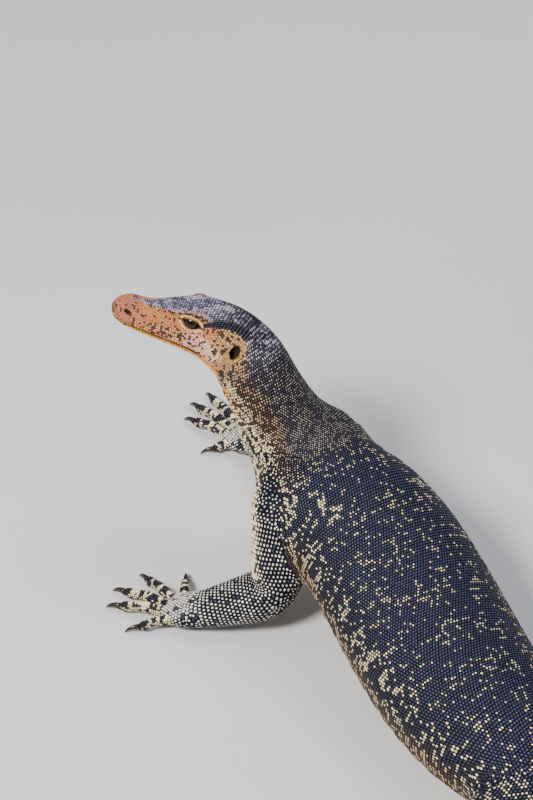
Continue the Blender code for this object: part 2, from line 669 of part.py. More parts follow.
def make_hand(limb):
    """The palm or sole with its five digits as one node, and a claw on each."""
    name = limb.name + ("_hand" if limb.name.startswith("arm") else "_foot")
    start = limb.wrist + SEAM / 2
    end = limb.line.length
    places = np.concatenate([ring_places(start, end - 0.004, 0.009), [end]])
    hand = tube(name, limb.points_at(places, round_angles(LIMB_COLUMNS)), "limb")
    fingers = []
    digit_angles = round_angles(DIGIT_COLUMNS)
    for number, (root_bearing, bearing, length, thickness) in enumerate(limb.digits, 1):
        line = digit_line(limb, root_bearing, bearing, length)
        skin = digit_points(line, thickness, np.array(DIGIT_RINGS), digit_angles)
        fingers.append(tube(f"digit_{number}", skin, "limb"))
        horn = claw_points(line, thickness, CLAW_RINGS, CLAW_COLUMNS)
        rest_on_floor(tube(f"{limb.name}_claw_{number}", horn, "claw"))
    combine(hand, fingers, "UNION")
    largest_body(hand)
    rest_on_floor(hand)


def cut_clear(piece, line, rings, angles):
    """Cuts a piece back from a stretch of the body, leaving a seam between them."""
    body = tube("stretch", body_points(line, rings, angles, grown=1.5 * SEAM), "torso")
    combine(piece, [body], "DIFFERENCE")
    largest_body(piece)


def make_limb(limb, torso_parts, line, angles):
    """Adds the root to the torso's parts and makes the upper, lower and end nodes.

    The root keeps clear of the neck and the upper node, which lies against the flank, of the torso.
    """
    root_end = limb.wrist * ROOT_CUT
    joint = limb.wrist * JOINT_CUT
    root = limb.piece(limb.name + "_root", 0.0, root_end - SEAM / 2)
    if limb.name.startswith("arm"):
        cut_clear(root, line, ring_places(HEAD_END + SEAM / 2, NECK_END + SEAM / 2, NECK_RING), angles)
    torso_parts.append(root)
    for suffix, start, end in (("_upper", root_end, joint), ("_lower", joint, limb.wrist)):
        piece = limb.piece(limb.name + suffix, start + SEAM / 2, end - SEAM / 2)
        if suffix == "_upper":
            cut_clear(piece, line, ring_places(NECK_END + SEAM / 2, TORSO_END, TRUNK_RING), angles)
        rest_on_floor(piece)
    make_hand(limb)


def make_body(line, limbs):
    angles = ring_angles(BODY_COLUMNS)
    make_head(line, angles)
    rings = ring_places(HEAD_END + SEAM / 2, NECK_END - SEAM / 2, NECK_RING)
    tube("neck", body_points(line, rings, angles), "neck")
    rings = ring_places(NECK_END + SEAM / 2, TORSO_END - SEAM / 2, TRUNK_RING)
    torso = tube("torso", body_points(line, rings, angles), "torso")
    roots = []
    for limb in limbs:
        make_limb(limb, roots, line, angles)
    combine(torso, roots, "UNION")
    largest_body(torso)
    rest_on_floor(torso)
    angles = ring_angles(TAIL_COLUMNS)
    cuts = (TORSO_END,) + TAIL_ENDS + (line.length + SEAM / 2,)
    for name, start, end in zip(TAIL_NAMES, cuts, cuts[1:]):
        rings = ring_places(start + SEAM / 2, end - SEAM / 2, TAIL_RING)
        rest_on_floor(tube(name, body_points(line, rings, angles), "tail"))


def make_limbs():
    return [
        Limb("arm_left", ARM_LEFT, ARM_SECTIONS, HAND_SECTIONS, 1, HAND_LEFT),
        Limb("arm_right", ARM_RIGHT, ARM_SECTIONS, HAND_SECTIONS, -1, HAND_RIGHT),
        Limb("leg_left", LEG_LEFT, LEG_SECTIONS, FOOT_SECTIONS, 1, FOOT),
        Limb("leg_right", LEG_RIGHT, LEG_SECTIONS, FOOT_SECTIONS, -1, FOOT),
    ]


def main():
    clear_scene()
    line = body_line()
    make_body(line, make_limbs())
    move_to_origin()


main()
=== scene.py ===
# %% [markdown]
# # A water monitor lizard as a museum model
#
# Varanus salvator, life size and still: chest propped on the arms, head raised, belly and tail along the
# floor. The CAD model gives the true outline in plain solids. This script covers it with one fine skin and
# with some fifty thousand scales of solid mesh, and gives the eyes, lids and claws their finish.
#
# The cells follow the order in which a model maker would work: the line of the spine, the cross sections,
# the limbs, one skin over all, the colours, the scales, then eyes, claws, floor and light.

import json
import math
from functools import partial
from itertools import product

import bmesh
import bpy
import numpy as np
from mathutils import Matrix, Vector, kdtree
from mathutils.bvhtree import BVHTree

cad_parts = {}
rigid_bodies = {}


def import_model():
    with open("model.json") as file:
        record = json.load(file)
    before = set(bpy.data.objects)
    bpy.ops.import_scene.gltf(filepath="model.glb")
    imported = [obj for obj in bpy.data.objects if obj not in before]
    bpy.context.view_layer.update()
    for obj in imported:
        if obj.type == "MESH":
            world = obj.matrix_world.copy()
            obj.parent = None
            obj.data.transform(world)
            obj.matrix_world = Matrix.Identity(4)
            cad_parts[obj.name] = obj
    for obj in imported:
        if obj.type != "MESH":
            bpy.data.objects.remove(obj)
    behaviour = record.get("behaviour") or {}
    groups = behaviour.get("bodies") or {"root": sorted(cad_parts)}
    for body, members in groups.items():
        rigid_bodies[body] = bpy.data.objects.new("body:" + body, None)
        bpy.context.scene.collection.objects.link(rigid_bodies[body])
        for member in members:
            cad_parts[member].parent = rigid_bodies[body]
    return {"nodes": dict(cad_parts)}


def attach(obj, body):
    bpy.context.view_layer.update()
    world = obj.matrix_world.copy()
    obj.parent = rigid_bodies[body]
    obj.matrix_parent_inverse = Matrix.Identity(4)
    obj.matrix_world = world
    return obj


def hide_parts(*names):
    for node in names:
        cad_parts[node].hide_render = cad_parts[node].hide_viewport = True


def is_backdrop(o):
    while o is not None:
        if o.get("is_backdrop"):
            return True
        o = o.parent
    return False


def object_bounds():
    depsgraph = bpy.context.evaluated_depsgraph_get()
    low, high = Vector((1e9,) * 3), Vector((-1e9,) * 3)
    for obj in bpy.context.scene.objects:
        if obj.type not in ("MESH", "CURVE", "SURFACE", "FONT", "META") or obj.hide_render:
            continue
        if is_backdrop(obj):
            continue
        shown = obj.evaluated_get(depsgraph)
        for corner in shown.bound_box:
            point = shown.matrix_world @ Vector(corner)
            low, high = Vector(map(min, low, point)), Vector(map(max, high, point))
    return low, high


for leftover in list(bpy.data.objects):
    bpy.data.objects.remove(leftover)
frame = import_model()
bpy.context.view_layer.update()
cad_low, cad_high = (list(corner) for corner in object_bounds())
random = np.random.default_rng(20)
print("CAD nodes:", len(frame["nodes"]), "box:", np.round(cad_low, 4), np.round(cad_high, 4))

# %% [markdown]
# ## Driving sizes
#
# A monitor is a long tube with four smaller tubes let into it. The spine is a line through points measured
# from the middle of the left palm, and a table of stations gives the half width and half depth at each
# distance from the snout. The CAD solids came from the same tables, so skin and solids agree by design.

# %% Spine, sections and limbs
SNOUT = (-0.058, 0.123, 0.1985)
HEAD_YAW = 13.0
HEAD_PITCH = 6.5
NECK_AND_TRUNK = [
    (0.0405, 0.0965, 0.1800),
    (0.0485, 0.0885, 0.1650),
    (0.0565, 0.0825, 0.1490),
    (0.0655, 0.0780, 0.1330),
    (0.0775, 0.0700, 0.1165),
    (0.0967, 0.0510, 0.1000),
    (0.1285, 0.0075, 0.0850),
    (0.1565, -0.0405, 0.0670),
    (0.1780, -0.0855, 0.0530),
    (0.1985, -0.1305, 0.0460),
    (0.2240, -0.1740, 0.0440),
    (0.2560, -0.2120, 0.0420),
    (0.2930, -0.2440, 0.0380),
]
TAIL = [
    (0.337, -0.273),
    (0.394, -0.295),
    (0.466, -0.303),
    (0.549, -0.291),
    (0.641, -0.270),
    (0.751, -0.264),
    (0.861, -0.286),
    (0.961, -0.317),
    (1.051, -0.330),
    (1.126, -0.319),
    (1.181, -0.294),
]
BODY_LENGTH = 1.600

# Distance from the snout, half width, height above and below the line, squareness of top and underside.
BODY_SECTIONS = [
    (0.000, 0.0010, 0.0010, 0.0010, 2.0, 2.0),
    (0.0015, 0.0052, 0.0050, 0.0052, 2.2, 2.2),
    (0.006, 0.0096, 0.0082, 0.0093, 2.4, 2.3),
    (0.014, 0.0128, 0.0110, 0.0122, 2.6, 2.3),
    (0.024, 0.0148, 0.0118, 0.0142, 2.7, 2.3),
    (0.036, 0.0170, 0.0132, 0.0158, 2.8, 2.3),
    (0.050, 0.0198, 0.0164, 0.0168, 2.9, 2.3),
    (0.0645, 0.0222, 0.0200, 0.0190, 2.9, 2.3),
    (0.080, 0.0250, 0.0218, 0.0228, 2.7, 2.2),
    (0.095, 0.0272, 0.0236, 0.0260, 2.5, 2.2),
    (0.108, 0.0278, 0.0250, 0.0286, 2.3, 2.1),
    (0.125, 0.0280, 0.0270, 0.0290, 2.1, 2.0),
    (0.150, 0.0295, 0.0290, 0.0280, 2.0, 2.0),
    (0.180, 0.0330, 0.0302, 0.0345, 2.0, 2.0),
    (0.205, 0.0388, 0.0322, 0.0408, 2.0, 2.1),
    (0.245, 0.0490, 0.0370, 0.0460, 2.0, 2.2),
    (0.285, 0.0580, 0.0420, 0.0480, 2.1, 2.2),
    (0.330, 0.0625, 0.0440, 0.0475, 2.1, 2.2),
    (0.380, 0.0630, 0.0450, 0.0470, 2.1, 2.3),
    (0.430, 0.0622, 0.0445, 0.0460, 2.1, 2.4),
    (0.480, 0.0600, 0.0430, 0.0440, 2.1, 2.4),
    (0.530, 0.0550, 0.0415, 0.0420, 2.1, 2.3),
    (0.570, 0.0460, 0.0400, 0.0390, 2.0, 2.2),
    (0.600, 0.0395, 0.0380, 0.0360, 1.9, 2.1),
    (0.650, 0.0300, 0.0335, 0.0310, 1.8, 2.1),
    (0.720, 0.0225, 0.0300, 0.0255, 1.7, 2.1),
    (0.820, 0.0175, 0.0275, 0.0220, 1.6, 2.1),
    (0.950, 0.0135, 0.0245, 0.0185, 1.6, 2.1),
    (1.100, 0.0100, 0.0205, 0.0150, 1.6, 2.1),
    (1.250, 0.0072, 0.0155, 0.0110, 1.6, 2.1),
    (1.400, 0.0048, 0.0095, 0.0070, 1.7, 2.1),
    (1.520, 0.0030, 0.0050, 0.0040, 1.8, 2.0),
    (1.590, 0.0016, 0.0022, 0.0020, 2.0, 2.0),
    (1.600, 0.0007, 0.0009, 0.0009, 2.0, 2.0),
]
ROOF_TAPER = 0.30
LIES_DOWN_AT = 0.400
LIES_FLAT_AT = 0.480
FLOOR_SINK = 0.0012

# Places on the head: distance from the snout, distance from the middle, height above the line.
EYE = (0.0645, 0.0112, 0.0105)
EYE_RADIUS = 0.0068
LID = 0.0009
EYE_SLIT = (0.0064, 0.0035)
EYE_TILT = -8.0
NOSTRIL = (0.0142, 0.0118, 0.0058)
NOSTRIL_SIZE = (0.0028, 0.0024, 0.0018)
NOSTRIL_TILT = -20.0
EAR = (0.1030, 0.0205, 0.0124)
EAR_SIZE = (0.0035, 0.0040, 0.0074)
EAR_TILT = 18.0
MOUTH_HEIGHT = math.radians(-20.0)
MOUTH_CORNER = 0.073
MOUTH_DEPTH = 0.0010
LIP_SWELL = 0.0005
EYE_FACES_UP = 16.0
SIDE_FORMS = [(-0.0016, 0.040, 0.0035, 0.014, 0.0055), (0.0012, 0.0142, 0.0050, 0.0055, 0.0060),
              (0.0010, 0.086, 0.0080, 0.012, 0.0060), (0.0016, 0.088, -0.0090, 0.013, 0.0070)]
BROW_RIDGE = (0.0012, 0.064, 0.0165, 0.013, 0.0030)
TOP_FORMS = [(-0.0012, 0.029, 0.0, 0.010, 0.1), (-0.0012, 0.060, 0.0, 0.016, 0.0060),
             (0.0008, 0.064, 0.0120, 0.011, 0.0045)]
HEAD_END = 0.121

# Limbs: points from the root inside the body to the wrist or ankle, then palm or sole to the knuckles.
ARM_LEFT = [(0.0790, 0.0270, 0.1000), (0.0700, 0.0120, 0.0960), (0.0650, -0.0050, 0.0680),
            (0.0660, -0.0135, 0.0365), (0.0400, -0.0145, 0.0250), (0.0095, -0.0145, 0.0155),
            (-0.0060, -0.0070, 0.0085), (-0.0160, -0.0010, 0.0070)]
ARM_RIGHT = [(0.1040, 0.0740, 0.0990), (0.1050, 0.0895, 0.0935), (0.0975, 0.1160, 0.0740),
             (0.0890, 0.1400, 0.0510), (0.0710, 0.1690, 0.0320), (0.0510, 0.1925, 0.0150),
             (0.0370, 0.2035, 0.0085), (0.0280, 0.2105, 0.0070)]
LEG_LEFT = [(0.2640, -0.2340, 0.0400), (0.2380, -0.2540, 0.0380), (0.2080, -0.2720, 0.0390),
            (0.1800, -0.2960, 0.0380), (0.1980, -0.3290, 0.0260), (0.2220, -0.3540, 0.0155),
            (0.2215, -0.3760, 0.0100), (0.2155, -0.3950, 0.0075)]
LEG_RIGHT = [(0.3030, -0.2090, 0.0400), (0.3220, -0.1830, 0.0380), (0.3260, -0.1510, 0.0390),
             (0.3340, -0.1180, 0.0380), (0.3640, -0.1020, 0.0260), (0.3900, -0.0920, 0.0155),
             (0.4025, -0.0760, 0.0100), (0.4110, -0.0580, 0.0075)]

# Share of the way along, half width across, half thickness.
ARM_SECTIONS = [(0.00, 0.0270, 0.0260), (0.15, 0.0250, 0.0240), (0.32, 0.0200, 0.0195),
                (0.52, 0.0192, 0.0190), (0.66, 0.0202, 0.0192), (0.82, 0.0188, 0.0168),
                (1.00, 0.0165, 0.0130)]
LEG_SECTIONS = [(0.00, 0.0340, 0.0330), (0.16, 0.0300, 0.0300), (0.34, 0.0255, 0.0250),
                (0.54, 0.0205, 0.0200), (0.70, 0.0185, 0.0170), (0.86, 0.0155, 0.0130),
                (1.00, 0.0145, 0.0122)]
HAND_SECTIONS = [(0.00, 0.0165, 0.0130), (0.45, 0.0182, 0.0106), (0.80, 0.0172, 0.0086),
                 (1.00, 0.0125, 0.0062)]
FOOT_SECTIONS = [(0.00, 0.0145, 0.0122), (0.40, 0.0165, 0.0105), (0.80, 0.0180, 0.0085),
                 (1.00, 0.0135, 0.0062)]
LIMB_SOFTNESS = 0.0095

# Digits: bearing of the root round the palm, bearing it points in, length, thickness.
HAND_LEFT = [(-60, -60, 0.025, 0.0038), (-26, -22, 0.035, 0.0041), (4, 1, 0.038, 0.0041),
             (36, 15, 0.036, 0.0041), (84, 40, 0.025, 0.0037)]
HAND_RIGHT = [(-84, -44, 0.013, 0.0038), (-24, 2, 0.033, 0.0041), (10, 13, 0.042, 0.0041),
              (42, 24, 0.047, 0.0041), (92, 62, 0.030, 0.0037)]
FOOT = [(-76, -40, 0.024, 0.0041), (-30, -19, 0.036, 0.0044), (2, -3, 0.046, 0.0045),
        (32, 12, 0.053, 0.0045), (92, 58, 0.034, 0.0040)]
KNUCKLE_RADIUS = 0.0135
KNUCKLE_HEIGHT = 0.0098
CLAW_LENGTH = 0.0125
CLAW_DROOP = 52.0
CLAW_LIFT = 12.0
CLAW_WIDTH = 0.50
CLAW_HEIGHT = 0.66
CLAW_POINT = (0.00022, 0.00025)
DIGIT_ARCH = [(0.30, 0.0090), (0.55, 0.0088), (0.80, 0.0062), (1.0, 0.0050)]
JOINTS = [(0.50, 0.10), (0.88, 0.09)]
SEAM = 0.0003
BOX_MIDDLE = (0.5570, -0.0936)

# The skin lies this far inside the solids, so that the crowns of the scales reach their outline.
SKIN_DEPTH = 0.00045
BODY_COLUMNS = 128
LIMB_COLUMNS = 40
LIMB_RING = 0.0026
DIGIT_COLUMNS = 18
DIGIT_RINGS = 30
print("spine points:", len(NECK_AND_TRUNK) + len(TAIL) + 4, "body stations:", len(BODY_SECTIONS))

# %% [markdown]
# ## Lines and profiles
#
# A backbone never kinks, so the points are joined by a smooth curve that is softened once more. Along it the
# side direction stays level, which keeps the back upright all the way to the tail tip. Limbs carry their
# side direction along instead, because an arm turns over at the elbow.

# %% Curves
def run_length(points):
    """How far along a row of points each of them lies."""
    return np.concatenate([[0.0], np.cumsum(np.linalg.norm(np.diff(points, axis=0), axis=1))])


def unit(vectors):
    """Rows of directions, brought to length 1."""
    return vectors / np.linalg.norm(vectors, axis=1, keepdims=True)


class Line:
    """A smooth curve through points, with a side and an up direction carried along it."""

    STEP = 0.001

    def __init__(self, points, softness, level):
        rough = self.catmull_rom(np.asarray(points, float))
        self.points = self.evenly(self.softened(self.evenly(rough), softness))
        self.distance = run_length(self.points)
        self.length = float(self.distance[-1])
        self.ahead = unit(np.gradient(self.points, self.distance, axis=0))
        self.side = unit(np.cross(self.ahead, (0.0, 0.0, 1.0))) if level else self.carried_sides()
        self.up = np.cross(self.side, self.ahead)

    @staticmethod
    def catmull_rom(points, per_span=16):
        first = 2 * points[0] - points[1]
        last = 2 * points[-1] - points[-2]
        padded = np.vstack([first, points, last])
        share = np.linspace(0, 1, per_span, endpoint=False)[:, None]
        spans = []
        for a, b, c, d in zip(padded, padded[1:], padded[2:], padded[3:]):
            square = (2 * a - 5 * b + 4 * c - d) * share ** 2
            cubic = (3 * b - a - 3 * c + d) * share ** 3
            spans.append(0.5 * (2 * b + (c - a) * share + square + cubic))
        return np.vstack(spans + [points[-1:]])

    def evenly(self, points):
        lengths = run_length(points)
        count = max(2, int(round(lengths[-1] / self.STEP)))
        wanted = np.linspace(0, lengths[-1], count + 1)
        return np.stack([np.interp(wanted, lengths, points[:, axis]) for axis in range(3)], axis=1)

    def softened(self, points, softness):
        reach = int(round(3 * softness / self.STEP))
        reach = min(reach, len(points) - 1)
        before = 2 * points[0] - points[reach:0:-1]
        after = 2 * points[-1] - points[-2:-reach - 2:-1]
        padded = np.vstack([before, points, after])
        offsets = np.arange(-reach, reach + 1) * self.STEP
        weights = np.exp(-0.5 * (offsets / softness) ** 2)
        weights /= weights.sum()
        return np.stack([np.convolve(padded[:, axis], weights, "valid") for axis in range(3)], axis=1)

    def carried_sides(self):
        """Sides turned as little as possible, starting level at the far end."""
        sides = np.empty_like(self.ahead)
        side = np.cross(self.ahead[-1], (0.0, 0.0, 1.0))
        for index in range(len(sides) - 1, -1, -1):
            side = side - self.ahead[index] * (side @ self.ahead[index])
            side = side / np.linalg.norm(side)
            sides[index] = side
        return sides

    def read(self, table, distance):
        return np.stack([np.interp(distance, self.distance, table[:, axis]) for axis in range(3)], axis=-1)

    def place(self, distance, across, above):
        """World points at a distance along the line, out to the side and up from it."""
        beyond = distance - np.clip(distance, 0.0, self.length)
        middle = self.read(self.points, distance) + beyond[..., None] * self.read(self.ahead, distance)
        return (middle + across[..., None] * self.read(self.side, distance)
                + above[..., None] * self.read(self.up, distance))


def profile(rows, distance):
    """Every column of a table of stations, joined by a smooth curve that never overshoots."""
    table = np.asarray(rows, float)
    known = table[:, 0]
    steps = np.diff(known)
    place = np.clip(np.searchsorted(known, distance, side="right") - 1, 0, len(known) - 2)
    share = np.clip((distance - known[place]) / steps[place], 0.0, 1.0)
    columns = []
    for column in table[:, 1:].T:
        slopes = np.diff(column) / steps
        tangents = np.zeros_like(column)
        same_way = slopes[:-1] * slopes[1:] > 0
        weights = (2 * steps[1:] + steps[:-1], steps[1:] + 2 * steps[:-1])
        safe = np.where(same_way, slopes[:-1], 1.0), np.where(same_way, slopes[1:], 1.0)
        mean = (weights[0] + weights[1]) / (weights[0] / safe[0] + weights[1] / safe[1])
        tangents[1:-1] = np.where(same_way, mean, 0.0)
        tangents[0], tangents[-1] = slopes[0], slopes[-1]
        low, high = column[place], column[place + 1]
        rise, fall = tangents[place] * steps[place], tangents[place + 1] * steps[place]
        squared, cubed = share ** 2, share ** 3
        columns.append((2 * cubed - 3 * squared + 1) * low + (cubed - 2 * squared + share) * rise
                       + (3 * squared - 2 * cubed) * high + (cubed - squared) * fall)
    return columns


def ease(value, start, end):
    share = np.clip((value - start) / (end - start), 0.0, 1.0)
    return share * share * (3 - 2 * share)


def height_of(angles):
    """How far up round the body an angle is, in radians above the side's middle."""
    return np.arcsin(np.clip(np.sin(angles), -1, 1))


def bump(first, second, centre, reach):
    """A round swelling of height 1 over two measures."""
    return np.exp(-((first - centre[0]) / reach[0]) ** 2 - ((second - centre[1]) / reach[1]) ** 2)


def shifted(points):
    """Places measured from the left palm, moved so that the whole animal stands on the origin."""
    return [(x - BOX_MIDDLE[0], y - BOX_MIDDLE[1], *rest) for x, y, *rest in points]


def body_line():
    """The line from snout to tail tip. Where the belly and tail lie down, it rides its own half depth."""
    yaw, pitch = math.radians(HEAD_YAW), math.radians(HEAD_PITCH)
    back = np.array([math.cos(pitch) * math.cos(yaw), -math.cos(pitch) * math.sin(yaw), -math.sin(pitch)])
    head = [tuple(np.array(SNOUT) + back * distance) for distance in (0.0, 0.028, 0.056, 0.082)]
    tail = [(x, y, NECK_AND_TRUNK[-1][2] * 0.8) for x, y in TAIL]
    points = head + NECK_AND_TRUNK + tail
    line = Line(points, 0.009, level=True)
    depth = profile(BODY_SECTIONS, line.distance * BODY_LENGTH / line.length)[2]
    lying = ease(line.distance, LIES_DOWN_AT, LIES_FLAT_AT)
    height = line.points[:, 2] * (1 - lying) + (depth - FLOOR_SINK) * lying
    return Line(np.column_stack([line.points[:, :2], height])[::8], 0.006, level=True)


line = body_line()
line.points[:, :2] -= BOX_MIDDLE
print("snout to tail tip:", round(line.length, 3), "m")

# %% [markdown]
# ## The body's surface
#
# The head has relief of its own: a swollen muzzle tip, a brow ridge over each eye, a hollow between the
# brows, full cheeks and a closed mouth whose lips stand a little out. The neck and flanks carry loose skin.
# On the real animal the skin is far too big for the neck and gathers in slanting creases, which is made here
# by pushing the surface in along a few lines.

# %% Relief of head and folds of skin
def round_angles(columns):
    return np.linspace(0, 2 * math.pi, columns, endpoint=False)


def head_relief(distance, across, above):
    """Snout, brow, temple, cheek, lips and the pits of eye, nostril and ear, pushed in or out."""
    left = np.sign(across)
    side = np.abs(across)
    on_head = 1 - ease(distance, 0.112, 0.140)
    off_middle = side > 0.004
    for height, *place in SIDE_FORMS:
        side = side + height * bump(distance, above, place[:2], place[2:])
    height, *place = BROW_RIDGE
    side = side + height * bump(distance, above, place[:2], place[2:]) * off_middle
    behind = distance - EYE[0], side - EYE[1], above - EYE[2]
    reach = np.sqrt(behind[0] ** 2 + behind[1] ** 2 + behind[2] ** 2)
    covered = np.where(behind[1] > -0.002, EYE_RADIUS + LID - reach, 0.0).clip(0.0)
    side = side + covered * behind[1] / reach
    above = above + covered * behind[2] / reach
    distance = distance + covered * behind[0] / reach
    top = ease(above, 0.004, 0.010)
    for height, *place in TOP_FORMS:
        above = above + height * top * bump(distance, side, place[:2], place[2:])
    return distance, left * side * on_head + across * (1 - on_head), above


def mouth_groove(distance, angles):
    """How deep the closed mouth cuts in at each place, and how far the lips beside it stand out."""
    off_mouth = height_of(angles) - MOUTH_HEIGHT
    reach = 1 - ease(distance, MOUTH_CORNER - 0.010, MOUTH_CORNER)
    cut = np.exp(-(off_mouth / 0.075) ** 2)
    lips = np.exp(-((np.abs(off_mouth) - 0.20) / 0.13) ** 2)
    return reach * (MOUTH_DEPTH * cut - LIP_SWELL * lips) * ease(distance, -0.002, 0.008)


def skin_points(distance, angles):
    """World points of the body's skin at every distance and angle."""
    distance, angles = np.meshgrid(distance, angles, indexing="ij")
    grown = folds(distance, angles) - SKIN_DEPTH
    scale = BODY_LENGTH / line.length
    width, up, down, top_power, under_power = profile(BODY_SECTIONS, distance * scale)
    width, up, down = width + grown, up + grown, down + grown
    sine, cosine = np.sin(angles), np.cos(angles)
    power = np.where(sine > 0, top_power, under_power)
    across = width * np.sign(cosine) * np.abs(cosine) ** (2 / power)
    above = np.where(sine > 0, up, down) * np.sign(sine) * np.abs(sine) ** (2 / power)
    roof = (1 - ease(distance, 0.090, 0.125)) * ease(distance, 0.0, 0.020)
    across = across * (1 - ROOF_TAPER * roof * ease(above / up, -0.3, 1.0))
    groove = 1 - mouth_groove(distance, angles) / np.hypot(across, above).clip(0.002)
    distance, across, above = head_relief(distance, across * groove, above * groove)
    return line.place(distance, across, above)


# Creases: distance from the snout, lean per radian, height round the side in radians, reach round, depth
# and width.
CREASES = [
    (0.126, 0.010, -0.55, 0.55, 0.0014, 0.0022),
    (0.139, 0.016, -0.45, 0.75, 0.0018, 0.0024),
    (0.152, 0.018, -0.35, 0.85, 0.0020, 0.0026),
    (0.166, 0.020, -0.30, 0.80, 0.0020, 0.0028),
    (0.181, 0.020, -0.40, 0.90, 0.0020, 0.0030),
    (0.197, 0.016, -0.60, 0.95, 0.0021, 0.0032),
    (0.214, 0.012, -0.50, 0.80, 0.0019, 0.0034),
    (0.232, 0.014, 0.10, 0.50, 0.0012, 0.0036),
    (0.300, 0.020, -0.20, 0.45, 0.0010, 0.0040),
    (0.318, 0.024, -0.25, 0.50, 0.0010, 0.0042),
    (0.560, -0.020, -0.10, 0.50, 0.0011, 0.0040),
    (0.578, -0.022, -0.05, 0.50, 0.0011, 0.0040),
]


def folds(distance, angles):
    """How far the loose skin of neck and flanks stands out or in."""
    height = height_of(angles)
    left = np.sign(np.cos(angles))
    depth = 0.0 * distance
    for place, lean, middle, reach, deep, wide in CREASES:
        wander = 0.0015 * np.sin(7 * height + 40 * place + 1.3 * left)
        off = (distance - place - lean * (height - middle) - wander) / wide
        window = np.exp(-((height - middle) / reach) ** 2)
        depth += deep * window * (0.35 * np.exp(-((np.abs(off) - 1.9) / 0.9) ** 2) - np.exp(-off ** 2))
    flank = np.exp(-((height + 0.45) / 0.35) ** 2) * ease(distance, 0.26, 0.31)
    flank *= 1 - ease(distance, 0.55, 0.60)
    depth += 0.0004 * flank * np.sin(distance * 390 + 3 * height + left)
    return depth.clip(-0.003, 0.0004)


body_places = np.concatenate([
    [0.0, 0.0003, 0.0008, 0.0015, 0.0023],
    np.arange(0.0032, HEAD_END, 0.00095),
    np.arange(HEAD_END, 0.245, 0.0019),
    np.arange(0.245, 0.640, 0.0036),
    np.arange(0.640, line.length - 0.010, 0.0085),
    np.linspace(line.length - 0.008, line.length, 5),
])
print("rings of the body:", len(body_places), "creases:", len(CREASES))

# %% [markdown]
# ## Limbs and digits
#
# Each limb is a tube from inside the body to the knuckles, with five digits that rise over a knuckle and
# come down on the floor. A hooked claw grows out of each. Claws are horn and stay pieces of their own.

# %% Limbs
class Limb:
    """An arm or a leg, from its root inside the body to its knuckles."""

    def __init__(self, name, points, sections, palm_sections, hand, digits):
        self.name = name
        self.line = Line(points, LIMB_SOFTNESS, level=False)
        wrist = np.linalg.norm(self.line.points - np.array(points[5]), axis=1).argmin()
        self.wrist = float(self.line.distance[wrist])
        self.sections = sections
        self.palm_sections = palm_sections
        self.hand = hand
        self.digits = digits

    def points_at(self, distance, angles, grown=0.0):
        distance, angles = np.meshgrid(distance, angles, indexing="ij")
        limb = profile(self.sections, distance / self.wrist)
        palm_share = (distance - self.wrist) / (self.line.length - self.wrist)
        palm = profile(self.palm_sections, palm_share)
        on_palm = distance > self.wrist
        across = (np.where(on_palm, palm[0], limb[0]) + grown) * np.cos(angles)
        above = (np.where(on_palm, palm[1], limb[1]) + grown) * np.sin(angles)
        return self.line.place(distance, across, above)

    def heading(self):
        ahead = self.line.ahead[-1]
        return math.atan2(ahead[1], ahead[0])

    def palm_centre(self):
        middle = self.line.read(self.line.points, np.array([self.wrist * 0.45 + self.line.length * 0.55]))[0]
        return np.array([middle[0], middle[1], KNUCKLE_HEIGHT * 0.8])


def digit_line(limb, root_bearing, bearing, length):
    """A finger or toe: up over the knuckle, then down to the floor."""
    centre = limb.palm_centre()
    toward = limb.heading() + limb.hand * math.radians(root_bearing)
    point = limb.heading() + limb.hand * math.radians(bearing)
    root = centre + KNUCKLE_RADIUS * 0.55 * np.array([math.cos(toward), math.sin(toward), 0.0])
    knuckle = centre + KNUCKLE_RADIUS * np.array([math.cos(toward), math.sin(toward), 0.0])
    along = np.array([math.cos(point), math.sin(point), 0.0])
    places = [root, knuckle]
    for share, height in DIGIT_ARCH:
        place = knuckle + along * length * share
        place[2] = height
        places.append(place)
    return Line(places, 0.0018, level=True)


def digit_points(line, thickness, places, angles):
    share, angles = np.meshgrid(places, angles, indexing="ij")
    swell = sum(np.exp(-((share - middle) / reach) ** 2) for middle, reach in JOINTS)
    radius = thickness * (1.08 - 0.22 * share + 0.14 * swell) * (1 - 0.30 * ease(share, 0.93, 1.0))
    return line.place(share * line.length, radius * np.cos(angles), radius * np.sin(angles))


def claw_points(line, thickness, places, columns):
    """A hooked claw: its line bends down at an even rate from the digit's end."""
    end = line.points[-1]
    ahead = line.ahead[-1] * np.array([1, 1, 0])
    ahead /= np.linalg.norm(ahead)
    side = line.side[-1]
    up = np.array([0.0, 0.0, 1.0])
    lift = math.radians(CLAW_LIFT)
    bend = math.radians(CLAW_DROOP + CLAW_LIFT)
    rings = []
    for share in places:
        turn = bend * share - lift
        turns = bend * np.linspace(0, share, 12) - lift
        run = CLAW_LENGTH * share * np.cos(turns).mean()
        fall = CLAW_LENGTH * share * np.sin(turns).mean()
        middle = end + line.ahead[-1] * SEAM + ahead * run - up * fall
        normal = up * math.cos(turn) + ahead * math.sin(turn)
        taper = (1 - share) ** 0.75
        ring = []
        for angle in round_angles(columns):
            wide = thickness * CLAW_WIDTH * taper + CLAW_POINT[0]
            tall = thickness * CLAW_HEIGHT * taper + CLAW_POINT[1]
            ring.append(middle + side * wide * math.cos(angle) + normal * tall * math.sin(angle))
        rings.append(ring)
    rings = np.array(rings)
    rings[0] = rings[0] - ((rings[0] - end) @ line.ahead[-1] - SEAM)[:, None] * line.ahead[-1]
    return rings


